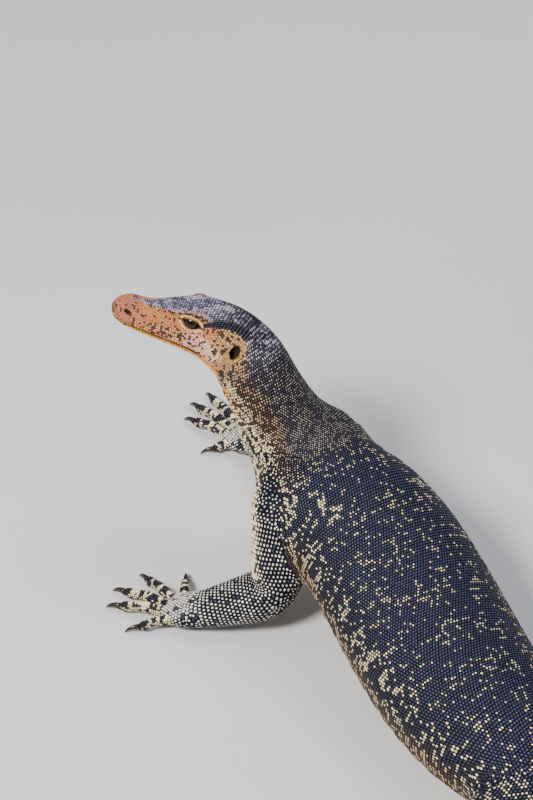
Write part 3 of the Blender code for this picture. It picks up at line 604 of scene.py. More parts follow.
limbs = [
    Limb("arm_left", shifted(ARM_LEFT), ARM_SECTIONS, HAND_SECTIONS, 1, HAND_LEFT),
    Limb("arm_right", shifted(ARM_RIGHT), ARM_SECTIONS, HAND_SECTIONS, -1, HAND_RIGHT),
    Limb("leg_left", shifted(LEG_LEFT), LEG_SECTIONS, FOOT_SECTIONS, 1, FOOT),
    Limb("leg_right", shifted(LEG_RIGHT), LEG_SECTIONS, FOOT_SECTIONS, -1, FOOT),
]
digits = []
for limb in limbs:
    for number, (root_bearing, bearing, length, thickness) in enumerate(limb.digits, 1):
        digits.append((limb, number, digit_line(limb, root_bearing, bearing, length), thickness))
print("limbs:", [limb.name for limb in limbs], "digits:", len(digits))

# %% [markdown]
# ## Mesh helpers
#
# Every closed form starts as rings of points skinned into a tube with flat ends, facing outward. Boolean
# modifiers join or cut them, and are applied at once so that only plain meshes are left.

# %% Mesh helpers
def placed(name, data):
    """An object in the scene that shows a mesh, a lamp or a camera."""
    made = bpy.data.objects.new(name, data)
    bpy.context.scene.collection.objects.link(made)
    return made


def apply_modifiers(target):
    """Puts the mesh that an object's modifiers make in place of its own."""
    bpy.context.view_layer.update()
    evaluated = target.evaluated_get(bpy.context.evaluated_depsgraph_get())
    result = bpy.data.meshes.new_from_object(evaluated)
    target.modifiers.clear()
    target.data = result


def store(mesh, name, kind, values):
    """Keeps a value for each vertex under a name that the materials and the node tree read."""
    field = {"FLOAT_VECTOR": "vector", "FLOAT_COLOR": "color"}.get(kind, "value")
    rows = np.asarray(values, dtype=np.float32).ravel()
    mesh.attributes.new(name, kind, "POINT").data.foreach_set(field, rows)


def with_alpha(colours):
    return np.column_stack([np.clip(colours, 0, 1), np.ones(len(colours))])


def tube(name, rings):
    """A closed skin over rings of points, with flat ends."""
    count, columns = rings.shape[:2]
    mesh = bpy.data.meshes.new(name)
    faces = [tuple(range(columns)), tuple((count - 1) * columns + i for i in reversed(range(columns)))]
    for ring in range(count - 1):
        low, high = ring * columns, (ring + 1) * columns
        for i in range(columns):
            j = (i + 1) % columns
            faces.append((low + j, low + i, high + i, high + j))
    mesh.from_pydata(rings.reshape(-1, 3).tolist(), [], faces)
    mesh.validate()
    mesh.update()
    shell = bmesh.new()
    shell.from_mesh(mesh)
    bmesh.ops.recalc_face_normals(shell, faces=shell.faces)
    bmesh.ops.triangulate(shell, faces=shell.faces)
    if shell.calc_volume(signed=True) < 0:
        bmesh.ops.reverse_faces(shell, faces=shell.faces)
    shell.to_mesh(mesh)
    shell.free()
    return placed(name, mesh)


def combine(target, others, operation):
    """Joins other closed shapes to the target, or cuts them away, and removes them."""
    group = bpy.data.collections.new("others")
    bpy.context.scene.collection.children.link(group)
    for other in others:
        group.objects.link(other)
    boolean = target.modifiers.new("combine", "BOOLEAN")
    boolean.operation = operation
    boolean.operand_type = "COLLECTION"
    boolean.collection = group
    boolean.solver = "MANIFOLD"
    apply_modifiers(target)
    for other in others:
        bpy.data.objects.remove(other, do_unlink=True)
    bpy.data.collections.remove(group)


def sphere(name, across, up, radius=1.0):
    """A ball's mesh, with so many faces round it and from pole to pole."""
    shell = bmesh.new()
    bmesh.ops.create_uvsphere(shell, u_segments=across, v_segments=up, radius=radius)
    mesh = bpy.data.meshes.new(name)
    shell.to_mesh(mesh)
    shell.free()
    return mesh


def ball(name, radii, turn, centre, rings):
    """An ellipsoid with three half sizes, turned by a 3 x 3 matrix."""
    made = placed(name, sphere(name, 2 * rings, rings))
    put_back(made, corners(made) * radii @ np.asarray(turn).T + centre)
    return made


def head_axes(place, hand, tilt=0.0):
    """World point on the head at a distance, side offset and height, with directions turned by a tilt."""
    distance = np.array([place[0]])
    middle = line.place(distance, np.array([place[1] * hand]), np.array([place[2]]))[0]
    back, side, up = (line.read(row, distance)[0] for row in (line.ahead, line.side, line.up))
    back, up = turned(back, up, tilt)
    return middle, back, side, up


def turned(first, second, degrees):
    """Two directions turned in their own plane."""
    angle = math.radians(degrees)
    return (first * math.cos(angle) + second * math.sin(angle),
            second * math.cos(angle) - first * math.sin(angle))


def corners(target, what="co"):
    """The places of a mesh's vertices as an array, or their normals."""
    rows = np.empty(len(target.data.vertices) * 3)
    target.data.vertices.foreach_get(what, rows)
    return rows.reshape(-1, 3)


def put_back(target, points):
    target.data.vertices.foreach_set("co", points.ravel())
    target.data.update()


def tree_of(points):
    """A search tree over points."""
    tree = kdtree.KDTree(len(points))
    for index, point in enumerate(points):
        tree.insert(point, index)
    tree.balance()
    return tree


# %% [markdown]
# ## One skin
#
# On a taxidermy mount one hide covers the whole form, so no seam may show where the CAD nodes meet. All the
# tubes are made again at a fine pitch and joined in one union. A source point keeps its own address, which
# is the tube it came from, the share along it and the angle round it. The colours are worked out from that.

# %% Join the tubes
addresses = []


def remember(kind, along, angles, points):
    """Keeps which tube each point belongs to, how far along it and at what angle, and hands the points on."""
    along, angles = np.meshgrid(along, angles, indexing="ij")
    rows = np.column_stack([np.full(along.size, kind), along.ravel(), angles.ravel(), points.reshape(-1, 3)])
    addresses.append(rows)
    return points


angles = round_angles(BODY_COLUMNS)
tubes = [tube("monitor_skin", remember(0, body_places, angles, skin_points(body_places, angles)))]
angles = round_angles(LIMB_COLUMNS)
for index, limb in enumerate(limbs):
    places = np.linspace(0.0, limb.line.length, int(limb.line.length / LIMB_RING))
    points = limb.points_at(places, angles, grown=-SKIN_DEPTH)
    tubes.append(tube(limb.name, remember(1 + index, places, angles, points)))
angles = round_angles(DIGIT_COLUMNS)
places = np.linspace(0.0, 1.0, DIGIT_RINGS)
for index, (limb, number, digit, thickness) in enumerate(digits):
    points = digit_points(digit, thickness - SKIN_DEPTH, places, angles)
    tubes.append(tube(f"{limb.name}_digit_{number}", remember(5 + index, places, angles, points)))
addresses = np.vstack(addresses)
old_points = tree_of(addresses[:, 3:])


def surface_tree(target):
    """A search tree over an object's surface."""
    shell = bmesh.new()
    shell.from_mesh(target.data)
    tree = BVHTree.FromBMesh(shell)
    shell.free()
    return tree


skin = tubes[0]
body_tree = surface_tree(skin)
limb_trees = [surface_tree(made) for made in tubes[1:5]]
combine(skin, tubes[1:], "UNION")
print("joined skin:", len(skin.data.polygons), "faces")

# %% [markdown]
# ## Openings
#
# Eyes, nostrils and ear openings are real hollows. Each is cut with a rounded cutter set on the head from
# its distance along the snout, its offset to the side and its height. A lizard's ear is an open hole with a
# sunken drum behind it, and its nostril is an oval nearer the snout's tip than the eye.

# %% Cut the openings
LID_RIM = 1.25


def eye_axes(hand):
    """Middle of an eyeball and its directions outward, back along the slit and up across it."""
    middle, back, side, up = head_axes(EYE, hand)
    rise = math.radians(EYE_FACES_UP)
    out = side * hand * math.cos(rise) + up * math.sin(rise)
    high = up - out * (up @ out)
    high /= np.linalg.norm(high)
    along, high = turned(back, high, EYE_TILT)
    return middle, out, along, high


def almond(angle):
    """The slit between the lids: pointed at both ends, a little fuller above."""
    return EYE_SLIT[0] * math.cos(angle), EYE_SLIT[1] * math.sin(angle) * abs(math.sin(angle)) ** 0.35


cutters = []
for hand in (1, -1):
    middle, out, along, high = eye_axes(hand)
    rings = []
    for depth, flare in ((0.0000, 0.9), (EYE_RADIUS, 1.0), (0.0120, 1.1)):
        ring = []
        for angle in round_angles(48):
            x, z = almond(angle)
            ring.append(middle + out * depth + (along * x + high * z) * flare * LID_RIM)
        rings.append(ring)
    cutters.append(tube(f"slit_{hand}", np.array(rings)))
    cutters.append(ball(f"socket_{hand}", (EYE_RADIUS + SEAM,) * 3, np.eye(3), middle, 24))
    for name, place, sizes, tilt, rounds in (("nostril", NOSTRIL, NOSTRIL_SIZE, NOSTRIL_TILT, 16),
                                             ("ear", EAR, EAR_SIZE, EAR_TILT, 20)):
        middle, back, side, up = head_axes(place, hand, tilt)
        cutters.append(ball(f"{name}_{hand}", sizes, np.column_stack([back, -side, up]), middle, rounds))
combine(skin, cutters, "DIFFERENCE")


def hole_axes(place, sizes, tilt):
    """Middle and scaled axes of the two holes, so that a place inside one has a reach under 1."""
    holes = [head_axes(place, hand, tilt) for hand in (1, -1)]
    return [(middle, np.array([back / sizes[0], side / sizes[1], up / sizes[2]]))
            for middle, back, side, up in holes]


def hole_reach(holes, places):
    """How far places are from the nearer hole's middle, where 1 is its wall."""
    places = np.atleast_2d(places)
    return np.min([np.linalg.norm((places - middle) @ axes.T, axis=1) for middle, axes in holes], axis=0)


nostrils = hole_axes(NOSTRIL, NOSTRIL_SIZE, NOSTRIL_TILT)
ears = hole_axes(EAR, EAR_SIZE, EAR_TILT)
print("skin with openings:", len(skin.data.polygons), "faces")

# %% [markdown]
# ## Soft joins
#
# Living skin never meets in a hard crease: it stretches over the shoulder and the hip. Near each join the
# surface is moved out to the smooth union of body and limb, a blend whose width is the reach below, and is
# then relaxed a little. Between the digits only a small web is left.

# %% Soften the joins
WEB = {"arm": 0.020, "leg": 0.030}
PALM_REACH = 0.034
HEAD_MIDDLE, HEAD_REACH = 0.060, 0.080
DIGIT_WEB = 0.0022
LIMB_RELAX, DIGIT_RELAX = 12, 10
places = corners(skin)
seams = np.array([place for place in places if old_points.find(place)[2] > 2e-6])


def signed(tree, point):
    """Distance outside a closed surface and the direction away from it."""
    nearest, normal, _, reach = tree.find_nearest(point)
    away = np.array(point - nearest)
    outside = 1.0 if away @ np.array(normal) >= 0 else -1.0
    if reach < 1e-5:
        return 0.0, np.array(normal)
    return outside * reach, outside * away / reach


def blended(point, first, second, width):
    """The point moved onto the smooth union of two surfaces."""
    for _ in range(7):
        a, toward_a = signed(first, Vector(point))
        b, toward_b = signed(second, Vector(point))
        share = min(1.0, max(0.0, 0.5 + 0.5 * (b - a) / width))
        value = b + (a - b) * share - width * share * (1 - share)
        slope = toward_a * share + toward_b * (1 - share)
        point = point - slope * value / max(0.25, slope @ slope)
        if abs(value) < 0.00003:
            break
    return point


def relax(target, near, rounds):
    """Moves points towards the mean of their neighbours, as far as each is free to."""
    points = corners(target)
    edges = np.empty(len(target.data.edges) * 2, int)
    target.data.edges.foreach_get("vertices", edges)
    edges = edges.reshape(-1, 2)
    ends = np.concatenate([edges[:, 0], edges[:, 1]])
    others = np.concatenate([edges[:, 1], edges[:, 0]])
    moving = near[ends] > 0.002
    ends, others = ends[moving], others[moving]
    count = np.bincount(ends, minlength=len(points)).clip(1)
    free = (near > 0.002)[:, None]
    for _ in range(rounds):
        sums = [np.bincount(ends, points[others, axis], len(points)) for axis in range(3)]
        mean = np.stack(sums, axis=1) / count[:, None]
        points = np.where(free, points + 0.5 * near[:, None] * (mean - points), points)
    put_back(target, points)


def nearness(points, seeds, reach):
    """1 at a seed and falling off smoothly over the reach."""
    tree = tree_of(seeds)
    return np.array([math.exp(-min(9.0, (tree.find(point)[2] / reach) ** 2)) for point in points])


palms = np.array([limb.palm_centre() for limb in limbs])
at_palm = np.linalg.norm(seams[:, None] - palms[None], axis=2).min(axis=1) < PALM_REACH
head_middle = line.read(line.points, np.array([HEAD_MIDDLE]))[0]
on_head = np.linalg.norm(seams - head_middle, axis=1) < HEAD_REACH
join_seams = seams[~at_palm & ~on_head]
for limb, tree in zip(limbs, limb_trees):
    width = WEB[limb.name[:3]]
    own = np.array([seam for seam in join_seams if tree.find_nearest(seam)[3] < 0.0004])
    reach = nearness(places, own, width)
    pull = (1.5 * reach).clip(0, 1)
    for index in np.nonzero(reach > 0.02)[0]:
        moved = blended(places[index], body_tree, tree, width)
        places[index] += pull[index] * (moved - places[index])
    put_back(skin, places)
    relax(skin, pull, LIMB_RELAX)
    places = corners(skin)
relax(skin, nearness(places, seams[at_palm], DIGIT_WEB), DIGIT_RELAX)
places = corners(skin)
places[:, 2] = places[:, 2].clip(0.0003)
put_back(skin, places)
print("points along joins:", len(join_seams), "faces:", len(skin.data.polygons))

# %% [markdown]
# ## Markings
#
# A young water monitor is blue-black with cream spots. The spots stand in rows across the back and join to
# rings on the flanks. The head is slate above and orange at the sides with black flecks, with a pale patch on
# the cheek and a black stripe from the eye back over the ear. The arms carry bright beads in a lattice and
# the digits are banded. One function gives, for any place on the animal, the light colour, the dark colour
# and the share of scales that are light, so that skin and scales can't disagree.

# %% Colours of every place
NIGHT = np.array((0.0035, 0.0040, 0.0105))
UMBER = np.array((0.0170, 0.0100, 0.0065))
# STEEL_SHEEN and COPPER_SHEEN are painted sheens: tones that lift the crown of a dark scale where a highlight
# would fall.
STEEL_SHEEN = np.array((0.0300, 0.0330, 0.0800))
COPPER_SHEEN = np.array((0.0520, 0.0300, 0.0190))
CREAM = np.array((0.880, 0.740, 0.450))
WHITE = np.array((0.920, 0.880, 0.770))
ORANGE = np.array((0.640, 0.200, 0.045))
AMBER = np.array((0.720, 0.300, 0.035))
PINK = np.array((0.540, 0.175, 0.100))
SLATE = np.array((0.300, 0.285, 0.410))
BARK = np.array((0.500, 0.300, 0.120))
ASH = np.array((0.330, 0.285, 0.240))

# An amount that lays paint on every place.
ALL = np.ones(1)

# The edge between slate crown and orange side, and the middle of the stripe: distance, height in radians.
CROWN_EDGE = ((0.000, 1.15), (0.022, 1.42), (0.041, 1.08), (0.050, 0.88), (0.070, 0.88), (0.078, 0.76),
              (0.085, 0.95), (0.092, 1.06), (0.099, 1.06), (0.108, 0.86), (0.120, 0.70))
STRIPE = ((0.070, 0.46), (0.077, 0.66), (0.085, 0.87), (0.092, 1.05), (0.099, 1.15), (0.106, 1.18))


def cloud(places, size, seed):
    """Smooth noise over space, mostly between -1 and 1."""
    draw = np.random.default_rng(seed)
    total = np.zeros(len(places))
    for _ in range(7):
        direction = draw.normal(size=3)
        direction *= 2 * math.pi / size * draw.uniform(0.7, 1.4) / np.linalg.norm(direction)
        total += np.sin(places @ direction + draw.uniform(0, 2 * math.pi))
    return total / 2.2


def read_edge(rows, distance):
    table = np.array(rows)
    return np.interp(distance, table[:, 0], table[:, 1])


class Paint:
    """Light colour, dark colour, painted sheen that lifts the crown of a dark scale as a highlight would,
    share of light scales and size of the light spot on each, laid on in turn."""

    def __init__(self, count):
        self.light = np.tile(CREAM, (count, 1))
        self.dark = np.tile(NIGHT, (count, 1))
        self.painted_sheen = np.tile(STEEL_SHEEN, (count, 1))
        self.share = np.full(count, 0.5)
        self.spot = np.full(count, 0.6)

    def lay(self, amount, light=None, dark=None, share=None, spot=None, painted_sheen=None):
        amount = np.clip(amount, 0.0, 1.0)
        given = {"light": light, "dark": dark, "painted_sheen": painted_sheen, "share": share, "spot": spot}
        for name, value in given.items():
            if value is not None:
                old = getattr(self, name)
                weight = amount[:, None] if old.ndim == 2 else amount
                setattr(self, name, old + weight * (np.asarray(value) - old))


def paint_body(paint, distance, angle, places):
    height = face_height = height_of(angle)
    # On the far side of the neck, outside its bend, the dark of the back reaches further down.
    far_side_lift = 0.35 * ease(-np.cos(angle), 0.0, 0.4) * ease(distance, 0.11, 0.14)
    height = height + far_side_lift * (1 - ease(distance, 0.27, 0.33))
    rough = cloud(places, 0.020, 3)
    fine = cloud(places, 0.0085, 4)
    # Back: dots in short cross rows on blue-black with a painted steel-blue sheen, closer together in faint
    # bands.
    band = 0.5 + 0.5 * np.cos(2 * math.pi * (distance - 0.245) / 0.042 + 0.9 * rough)
    row = np.cos(2 * math.pi * distance / 0.0088 + 0.8 * fine)
    dots = (0.16 + 0.15 * band ** 2 + 0.07 * rough + 0.09 * fine) * (1 + 0.60 * row)
    paint.lay(ALL, CREAM, NIGHT, dots, 0.55)
    rings = ease(np.abs(fine - 0.25), 0.30, 0.06)
    flank = ease(height, 0.84, 0.30) * ease(distance, 0.22, 0.28)
    paint.lay(flank, CREAM, NIGHT, 0.25 + 0.72 * rings + 0.16 * rough, 0.70, STEEL_SHEEN * 0.35)
    low_flank = ease(height, 0.22, -0.16) * ease(distance, 0.22, 0.28)
    paint.lay(low_flank, (0.74, 0.53, 0.31), UMBER, 0.38 + 0.34 * fine + 0.24 * rings, 0.62, COPPER_SHEEN)
    # A broken pale band from the chest up over the shoulder.
    rise = 0.45 + (distance - 0.225) * 10
    across_shoulder = np.exp(-((height - rise) / 0.15) ** 2) * ease(distance, 0.210, 0.225)
    across_shoulder *= 1 - ease(distance, 0.272, 0.284)
    paint.lay(across_shoulder * 1.5, CREAM, NIGHT, 0.34 + 0.46 * fine, 0.74)
    belly = ease(height, -0.35, -0.80)
    bars = ease(np.sin(distance * 2 * math.pi / 0.024 + rough), 0.2, 0.7)
    paint.lay(belly, (0.62, 0.48, 0.30), UMBER, 0.92 - 0.62 * bars, 0.85, COPPER_SHEEN)
    # Tail: dark, with pale cross bands that stay to the tip.
    tail = ease(distance, 0.60, 0.70)
    tail_band = ease(np.sin((distance - 0.62) * 2 * math.pi / 0.068 + 0.5 * rough), 0.10, 0.75)
    paint.lay(tail, CREAM * 0.95, NIGHT, 0.07 + 0.78 * tail_band + 0.05 * fine, 0.66, STEEL_SHEEN * 0.8)
    # Neck: ash above, bark at the side, cream with dark flecks under, amber along the throat.
    neck = 1 - ease(distance, 0.205, 0.245)
    paint.lay(neck, ASH * 1.3, NIGHT + 0.3 * UMBER, 0.52 + 0.18 * fine, 0.52, (STEEL_SHEEN + COPPER_SHEEN) * 0.55)
    paint.lay(neck * ease(height, 0.98, 0.45), (0.58, 0.37, 0.19), UMBER, 0.58 + 0.22 * fine, 0.56, COPPER_SHEEN)
    under = neck * ease(height, 0.42, -0.10)
    marks = ease(cloud(places, 0.0065, 7), -0.35, 0.05)
    paint.lay(under, CREAM, UMBER, 0.10 + 0.86 * marks, 0.80, COPPER_SHEEN)
    throat = under * ease(height, 0.02, -0.45) * (1 - ease(distance, 0.125, 0.160))
    paint.lay(throat, AMBER * 0.9, UMBER, 0.86 + 0.10 * fine, 0.90, COPPER_SHEEN)
    chest = ease(height, 0.62, 0.30) * ease(distance, 0.160, 0.180) * (1 - ease(distance, 0.235, 0.260))
    paint.lay(chest, CREAM * 1.08, NIGHT, 0.10 + 0.88 * marks, 0.78, COPPER_SHEEN * 0.4)
    paint_head(paint, distance, face_height, places)


def paint_head(paint, distance, height, places):
    head = 1 - ease(distance, 0.106, 0.126)
    fine = cloud(places, 0.0060, 5)
    patchy = cloud(places, 0.011, 6)
    edge = read_edge(CROWN_EDGE, distance)
    crown = ease(height - edge, -0.07, 0.07)
    side = head * (1 - crown)
    top_dark = np.array((0.034, 0.030, 0.046))
    # Slate crown; its dark scales carry a grey-violet painted sheen on their crowns.
    paint.lay(head, SLATE, top_dark, 0.62 + 0.22 * fine, 0.72, (0.085, 0.080, 0.108))
    rear_top = head * crown * ease(distance, 0.078, 0.100)
    paint.lay(rear_top, (0.36, 0.33, 0.36), NIGHT * 2, 0.55 + 0.20 * fine, 0.60, (STEEL_SHEEN + COPPER_SHEEN) * 0.6)
    paint.lay(head * crown * ease(patchy, 0.2, 0.9), (0.47, 0.40, 0.47), top_dark, 0.84, 0.82)
    paint.lay(side, ORANGE, NIGHT * 2, 0.88 + 0.12 * fine, 0.93, COPPER_SHEEN * 0.4)
    paint.lay(side * ease(patchy, 0.0, 0.8), (0.64, 0.25, 0.080), NIGHT * 2, 0.90, 0.93)
    paint.lay(side * ease(distance, 0.098, 0.112), BARK, UMBER, 0.62 + 0.18 * fine, 0.70)
    paint.lay(side * ease(height, -0.22, -0.42), AMBER * 1.08, UMBER, 0.97, 0.95)
    paint.lay(side * ease(height, -0.60, -0.90), (0.66, 0.34, 0.12), UMBER, 0.98, 0.95)
    muzzle = 1 - ease(distance, 0.008, 0.030)
    paint.lay(head * muzzle * ease(height, -0.30, 0.30), PINK, UMBER * 2, 0.88 + 0.08 * fine, 0.92)
    # The ridge over the eye: a pale pink line with a dark one under it. Below them, round the eye, a darker
    # orange is painted shade under the ridge.
    over_eye = head * ease(distance, 0.040, 0.050) * (1 - ease(distance, 0.074, 0.080))
    pink_line = over_eye * np.exp(-((height - edge - 0.13) / 0.07) ** 2) * 1.2
    paint.lay(pink_line, (0.46, 0.24, 0.21), top_dark, 0.94, 0.92)
    paint.lay(over_eye * np.exp(-((height - edge + 0.02) / 0.055) ** 2) * 1.4, BARK * 0.5, UMBER, 0.25, 0.8)
    # Painted shade under the brow ridge: a darker orange round the eye.
    paint.lay(over_eye * np.exp(-((height - edge + 0.16) / 0.07) ** 2), ORANGE * 0.75, UMBER, 0.93, 0.93)
    cheek = side * bump(distance, height, (0.079, -0.03), (0.017, 0.20)) * 1.5
    paint.lay(cheek, (0.95, 0.66, 0.46), NIGHT, 0.76 + 0.26 * fine, 0.95)
    # A pink streak slanting down and back across the cheek.
    streak_line = 0.05 - (distance - 0.068) * 9.0
    cheek_streak = ease(distance, 0.064, 0.068) * (1 - ease(distance, 0.086, 0.091))
    cheek_streak = side * cheek_streak * np.exp(-((height - streak_line) / 0.075) ** 2)
    paint.lay(cheek_streak * 1.5, (0.88, 0.40, 0.42), UMBER, 0.99, 0.97)
    flecks = side * bump(distance, height, (0.050, -0.05), (0.024, 0.15)) * (fine > -0.05)
    paint.lay(flecks * 1.4, (0.74, 0.36, 0.17), NIGHT, 0.52, 0.92)
    temple = side * bump(distance, height, (0.098, 0.62), (0.012, 0.42)) * 1.5
    paint.lay(temple, BARK * 1.25, UMBER, 0.62 + 0.22 * fine, 0.84)
    around = hole_reach(ears, places)
    paint.lay(side * (1 - ease(around, 1.5, 2.3)), (0.50, 0.26, 0.095), UMBER, 0.95, 0.92)
    reach = (0.5 + 0.5 * ease(distance, 0.074, 0.086)) * ease(distance, 0.0715, 0.075)
    stripe = head * reach * (1 - ease(distance, 0.099, 0.104))
    stripe = stripe * np.exp(-((height - read_edge(STRIPE, distance)) / (0.16 * reach + 0.01)) ** 4)
    paint.lay(stripe * 1.3, NIGHT * 4, NIGHT * 0.8, 0.06, 0.5, STEEL_SHEEN * 0.35)


def paint_limb(paint, arm, along, places, normals):
    front = ease(-normals[:, 0] - 0.25 * normals[:, 2], 0.42, 0.92)
    fine = cloud(places, 0.009, 8)
    wide = cloud(places, 0.022, 10)
    if arm:
        bead_size = 0.45 + 0.10 * ease(along, 0.25, 0.6) + 0.05 * fine
        paint.lay(ALL, WHITE, NIGHT, 0.90 + 0.08 * wide, bead_size)
        above = ease(normals[:, 2] + 0.7 * normals[:, 0] + 0.15 * wide, 0.35, 0.80)
        above = above * (1 - ease(along, 0.36, 0.54))
        paint.lay(above, (0.42, 0.42, 0.48), NIGHT, 0.62 + 0.20 * fine, 0.42, STEEL_SHEEN)
        creased = ease(np.sin(2 * math.pi * along * 24 + 1.2 * fine), 0.35, 0.85)
        paint.lay(front, CREAM * 1.05, UMBER, 0.98 - 0.50 * creased, 0.93 - 0.20 * creased)
        back_of_hand = ease(normals[:, 2], 0.3, 0.7) * ease(along, 0.78, 0.88)
        paint.lay(back_of_hand, WHITE * 0.80, NIGHT * 2, 0.92, 0.82)
    else:
        paint.lay(ALL, CREAM, NIGHT, 0.42 + 0.28 * fine, 0.60)
        paint.lay(ease(-normals[:, 2], 0.1, 0.8), (0.62, 0.48, 0.30), UMBER, 0.90, 0.85, COPPER_SHEEN)


def paint_digit(paint, along, places, normals):
    wander = cloud(places, 0.010, 9)
    band = np.sin(2 * math.pi * (along * 4.1 + 0.10) + 0.9 * wander)
    pale = ease(band, 0.25, 0.55)
    paint.lay(ALL, CREAM * 1.05, NIGHT * 1.2, 0.06 + 0.92 * pale, 0.88, (STEEL_SHEEN + COPPER_SHEEN) * 0.4)
    side = ease(np.abs(normals[:, 2]), 0.5, 0.1)
    paint.lay(side, CREAM * 0.95, UMBER, 0.55 + 0.40 * pale, 0.84, STEEL_SHEEN)
    paint.lay(ease(along, 0.92, 0.99), UMBER * 2, NIGHT, 0.1, 0.8)


def markings(kinds, along, angles, places, normals):
    """The paint at points given by their tube, place along it, angle round it, place and normal."""
    paint = Paint(len(places))
    groups = np.minimum(kinds, 5)
    for kind in np.unique(groups):
        chosen = groups == kind
        own = Paint(int(chosen.sum()))
        if kind == 0:
            paint_body(own, along[chosen], angles[chosen], places[chosen])
        elif kind < 5:
            limb = limbs[kind - 1]
            share = along[chosen] / limb.line.length
            paint_limb(own, limb.name.startswith("arm"), share, places[chosen], normals[chosen])
        else:
            paint_digit(own, along[chosen], places[chosen], normals[chosen])
        for name in ("light", "dark", "painted_sheen", "share", "spot"):
            getattr(paint, name)[chosen] = getattr(own, name)
    return paint


print("crown edge through", len(CROWN_EDGE), "places, stripe through", len(STRIPE))

# %% [markdown]
# ## Where the scales grow
#
# Scales stand in rows round the body, each row shifted half a scale against the last, as bricks are. Rows
# are stepped off along each tube, and each row from the ridge of the back down both sides, so that the
# lattice is truest where it is seen best. Near a join the rows of two tubes meet, and there a scale is only
# kept where no other stands too close.

# %% Scale roots
# The angle round a tube at which its back lies.
BACK = math.pi / 2
ROW_STEP = ((0.000, 0.0015), (0.030, 0.0017), (0.100, 0.0019), (0.125, 0.0020), (0.210, 0.0022),
            (0.260, 0.0024), (0.480, 0.0026), (0.620, 0.0029), (0.760, 0.0038),
            (1.300, 0.0036), (1.500, 0.0026))
ACROSS = ((0.000, 0.0015), (0.030, 0.0017), (0.100, 0.0018), (0.125, 0.0019), (0.210, 0.0021),
          (0.260, 0.0022), (0.480, 0.0024), (0.640, 0.0027), (1.200, 0.0026), (1.500, 0.0018))


def rows_along(start, end, steps):
    """Places of rows whose spacing is read from a table as they go."""
    places = [start]
    while places[-1] < end:
        places.append(places[-1] + float(read_edge(steps, places[-1])))
    return np.array(places)


def lattice(kind, surface, rows, across, plate_width=0.0):
    """Roots over a tube, each a row of tube, along, angle, place, direction along, spacing along, direction
    across and spacing across.

    With a plate width, each row has one wide plate on top and no shift against the next row.
    """
    fine = np.linspace(0, math.pi, 181)
    found = []
    for index in range(1, len(rows) - 1):
        place, step = rows[index], rows[index + 1] - rows[index]
        width = float(read_edge(across, place))
        for hand in (1, -1):
            angles = BACK + hand * fine
            ring = surface(np.array([place]), angles)[0]
            arc = run_length(ring)
            shift = 0.5 * (index % 2)
            wanted = (np.arange(int(arc[-1] / width) + 1) + shift) * width
            if plate_width:
                beside = plate_width / 2 + (np.arange(int(arc[-1] / width)) + 0.5) * width
                wanted = np.concatenate([[0.0], beside])
            if hand < 0 and (shift == 0 or plate_width):
                wanted = wanted[1:]
            wanted = wanted[wanted < arc[-1] - 0.3 * width]
            if not len(wanted):
                continue
            at = BACK + hand * np.interp(wanted, arc, fine)
            near = surface(np.array([place - step / 2, place, place + step / 2]), at)
            run = near[2] - near[0]
            turn = unit(surface(np.array([place]), at + 0.01)[0] - near[1])
            length = np.linalg.norm(run, axis=1)
            wide = np.where((wanted == 0) & (plate_width > 0), plate_width, width)
            found.append(np.column_stack([np.full(len(at), kind), np.full(len(at), place), at, near[1],
                                          run / length[:, None], length, turn, wide]))
    return np.vstack(found)


found = [lattice(0, skin_points, rows_along(0.0016, line.length - 0.004, ROW_STEP), ACROSS)]
for index, limb in enumerate(limbs):
    elbow = limb.wrist * 0.55
    steps = ((0.0, 0.0025), (elbow, 0.0032), (limb.wrist, 0.0028), (limb.line.length, 0.0023))
    widths = ((0.0, 0.0025), (elbow, 0.0032), (limb.wrist, 0.0026), (limb.line.length, 0.0022))
    rows = rows_along(limb.wrist * 0.08, limb.line.length - 0.002, steps)
    found.append(lattice(1 + index, partial(limb.points_at, grown=-SKIN_DEPTH), rows, widths))
for index, (_, _, digit, thickness) in enumerate(digits):
    rows = np.arange(0.05, 1.0, 0.0019 / digit.length)
    surface = partial(digit_points, digit, thickness - SKIN_DEPTH)
    found.append(lattice(5 + index, surface, rows, ((0, 0.0017), (1, 0.0016)), plate_width=thickness * 1.05))

LIP_SCALE, LIP_OFFSET = 0.0023, 0.0026


def lip_rows():
    """The lip scales: one straight row above the mouth line and one below, on both sides."""
    rows = []
    for place in np.arange(0.0042, MOUTH_CORNER + 0.004, LIP_SCALE):
        for hand in (1, -1):
            sweep = MOUTH_HEIGHT + np.linspace(-0.9, 0.9, 181)
            angles = sweep if hand > 0 else math.pi - sweep
            ring = skin_points(np.array([place]), angles)[0]
            arc = run_length(ring)
            arc -= arc[90]
            for offset in (-LIP_OFFSET, LIP_OFFSET):
                angle = float(np.interp(offset, arc, angles))
                near = skin_points(place + np.array([-0.001, 0.0, 0.001]), np.array([angle, angle + 0.01]))
                run = near[2, 0] - near[0, 0]
                turn = near[1, 1] - near[1, 0]
                rows.append([0, place, angle, *near[1, 0], *(run / np.linalg.norm(run)), LIP_SCALE * 0.92,
                             *(turn / np.linalg.norm(turn)), LIP_SCALE * 0.86])
    return np.array(rows)


body_roots = found[0]
near_mouth = np.abs(height_of(body_roots[:, 2]) - MOUTH_HEIGHT)
half_depth = read_edge([(row[0], 0.5 * row[3] + 0.5 * row[2]) for row in BODY_SECTIONS], body_roots[:, 1])
by_mouth = (body_roots[:, 1] < MOUTH_CORNER + 0.005) & (near_mouth < 0.0031 / half_depth.clip(0.006))
found[0] = np.vstack([body_roots[~by_mouth], lip_rows()])
roots = np.vstack(found)
print("scale roots before clearing:", len(roots))

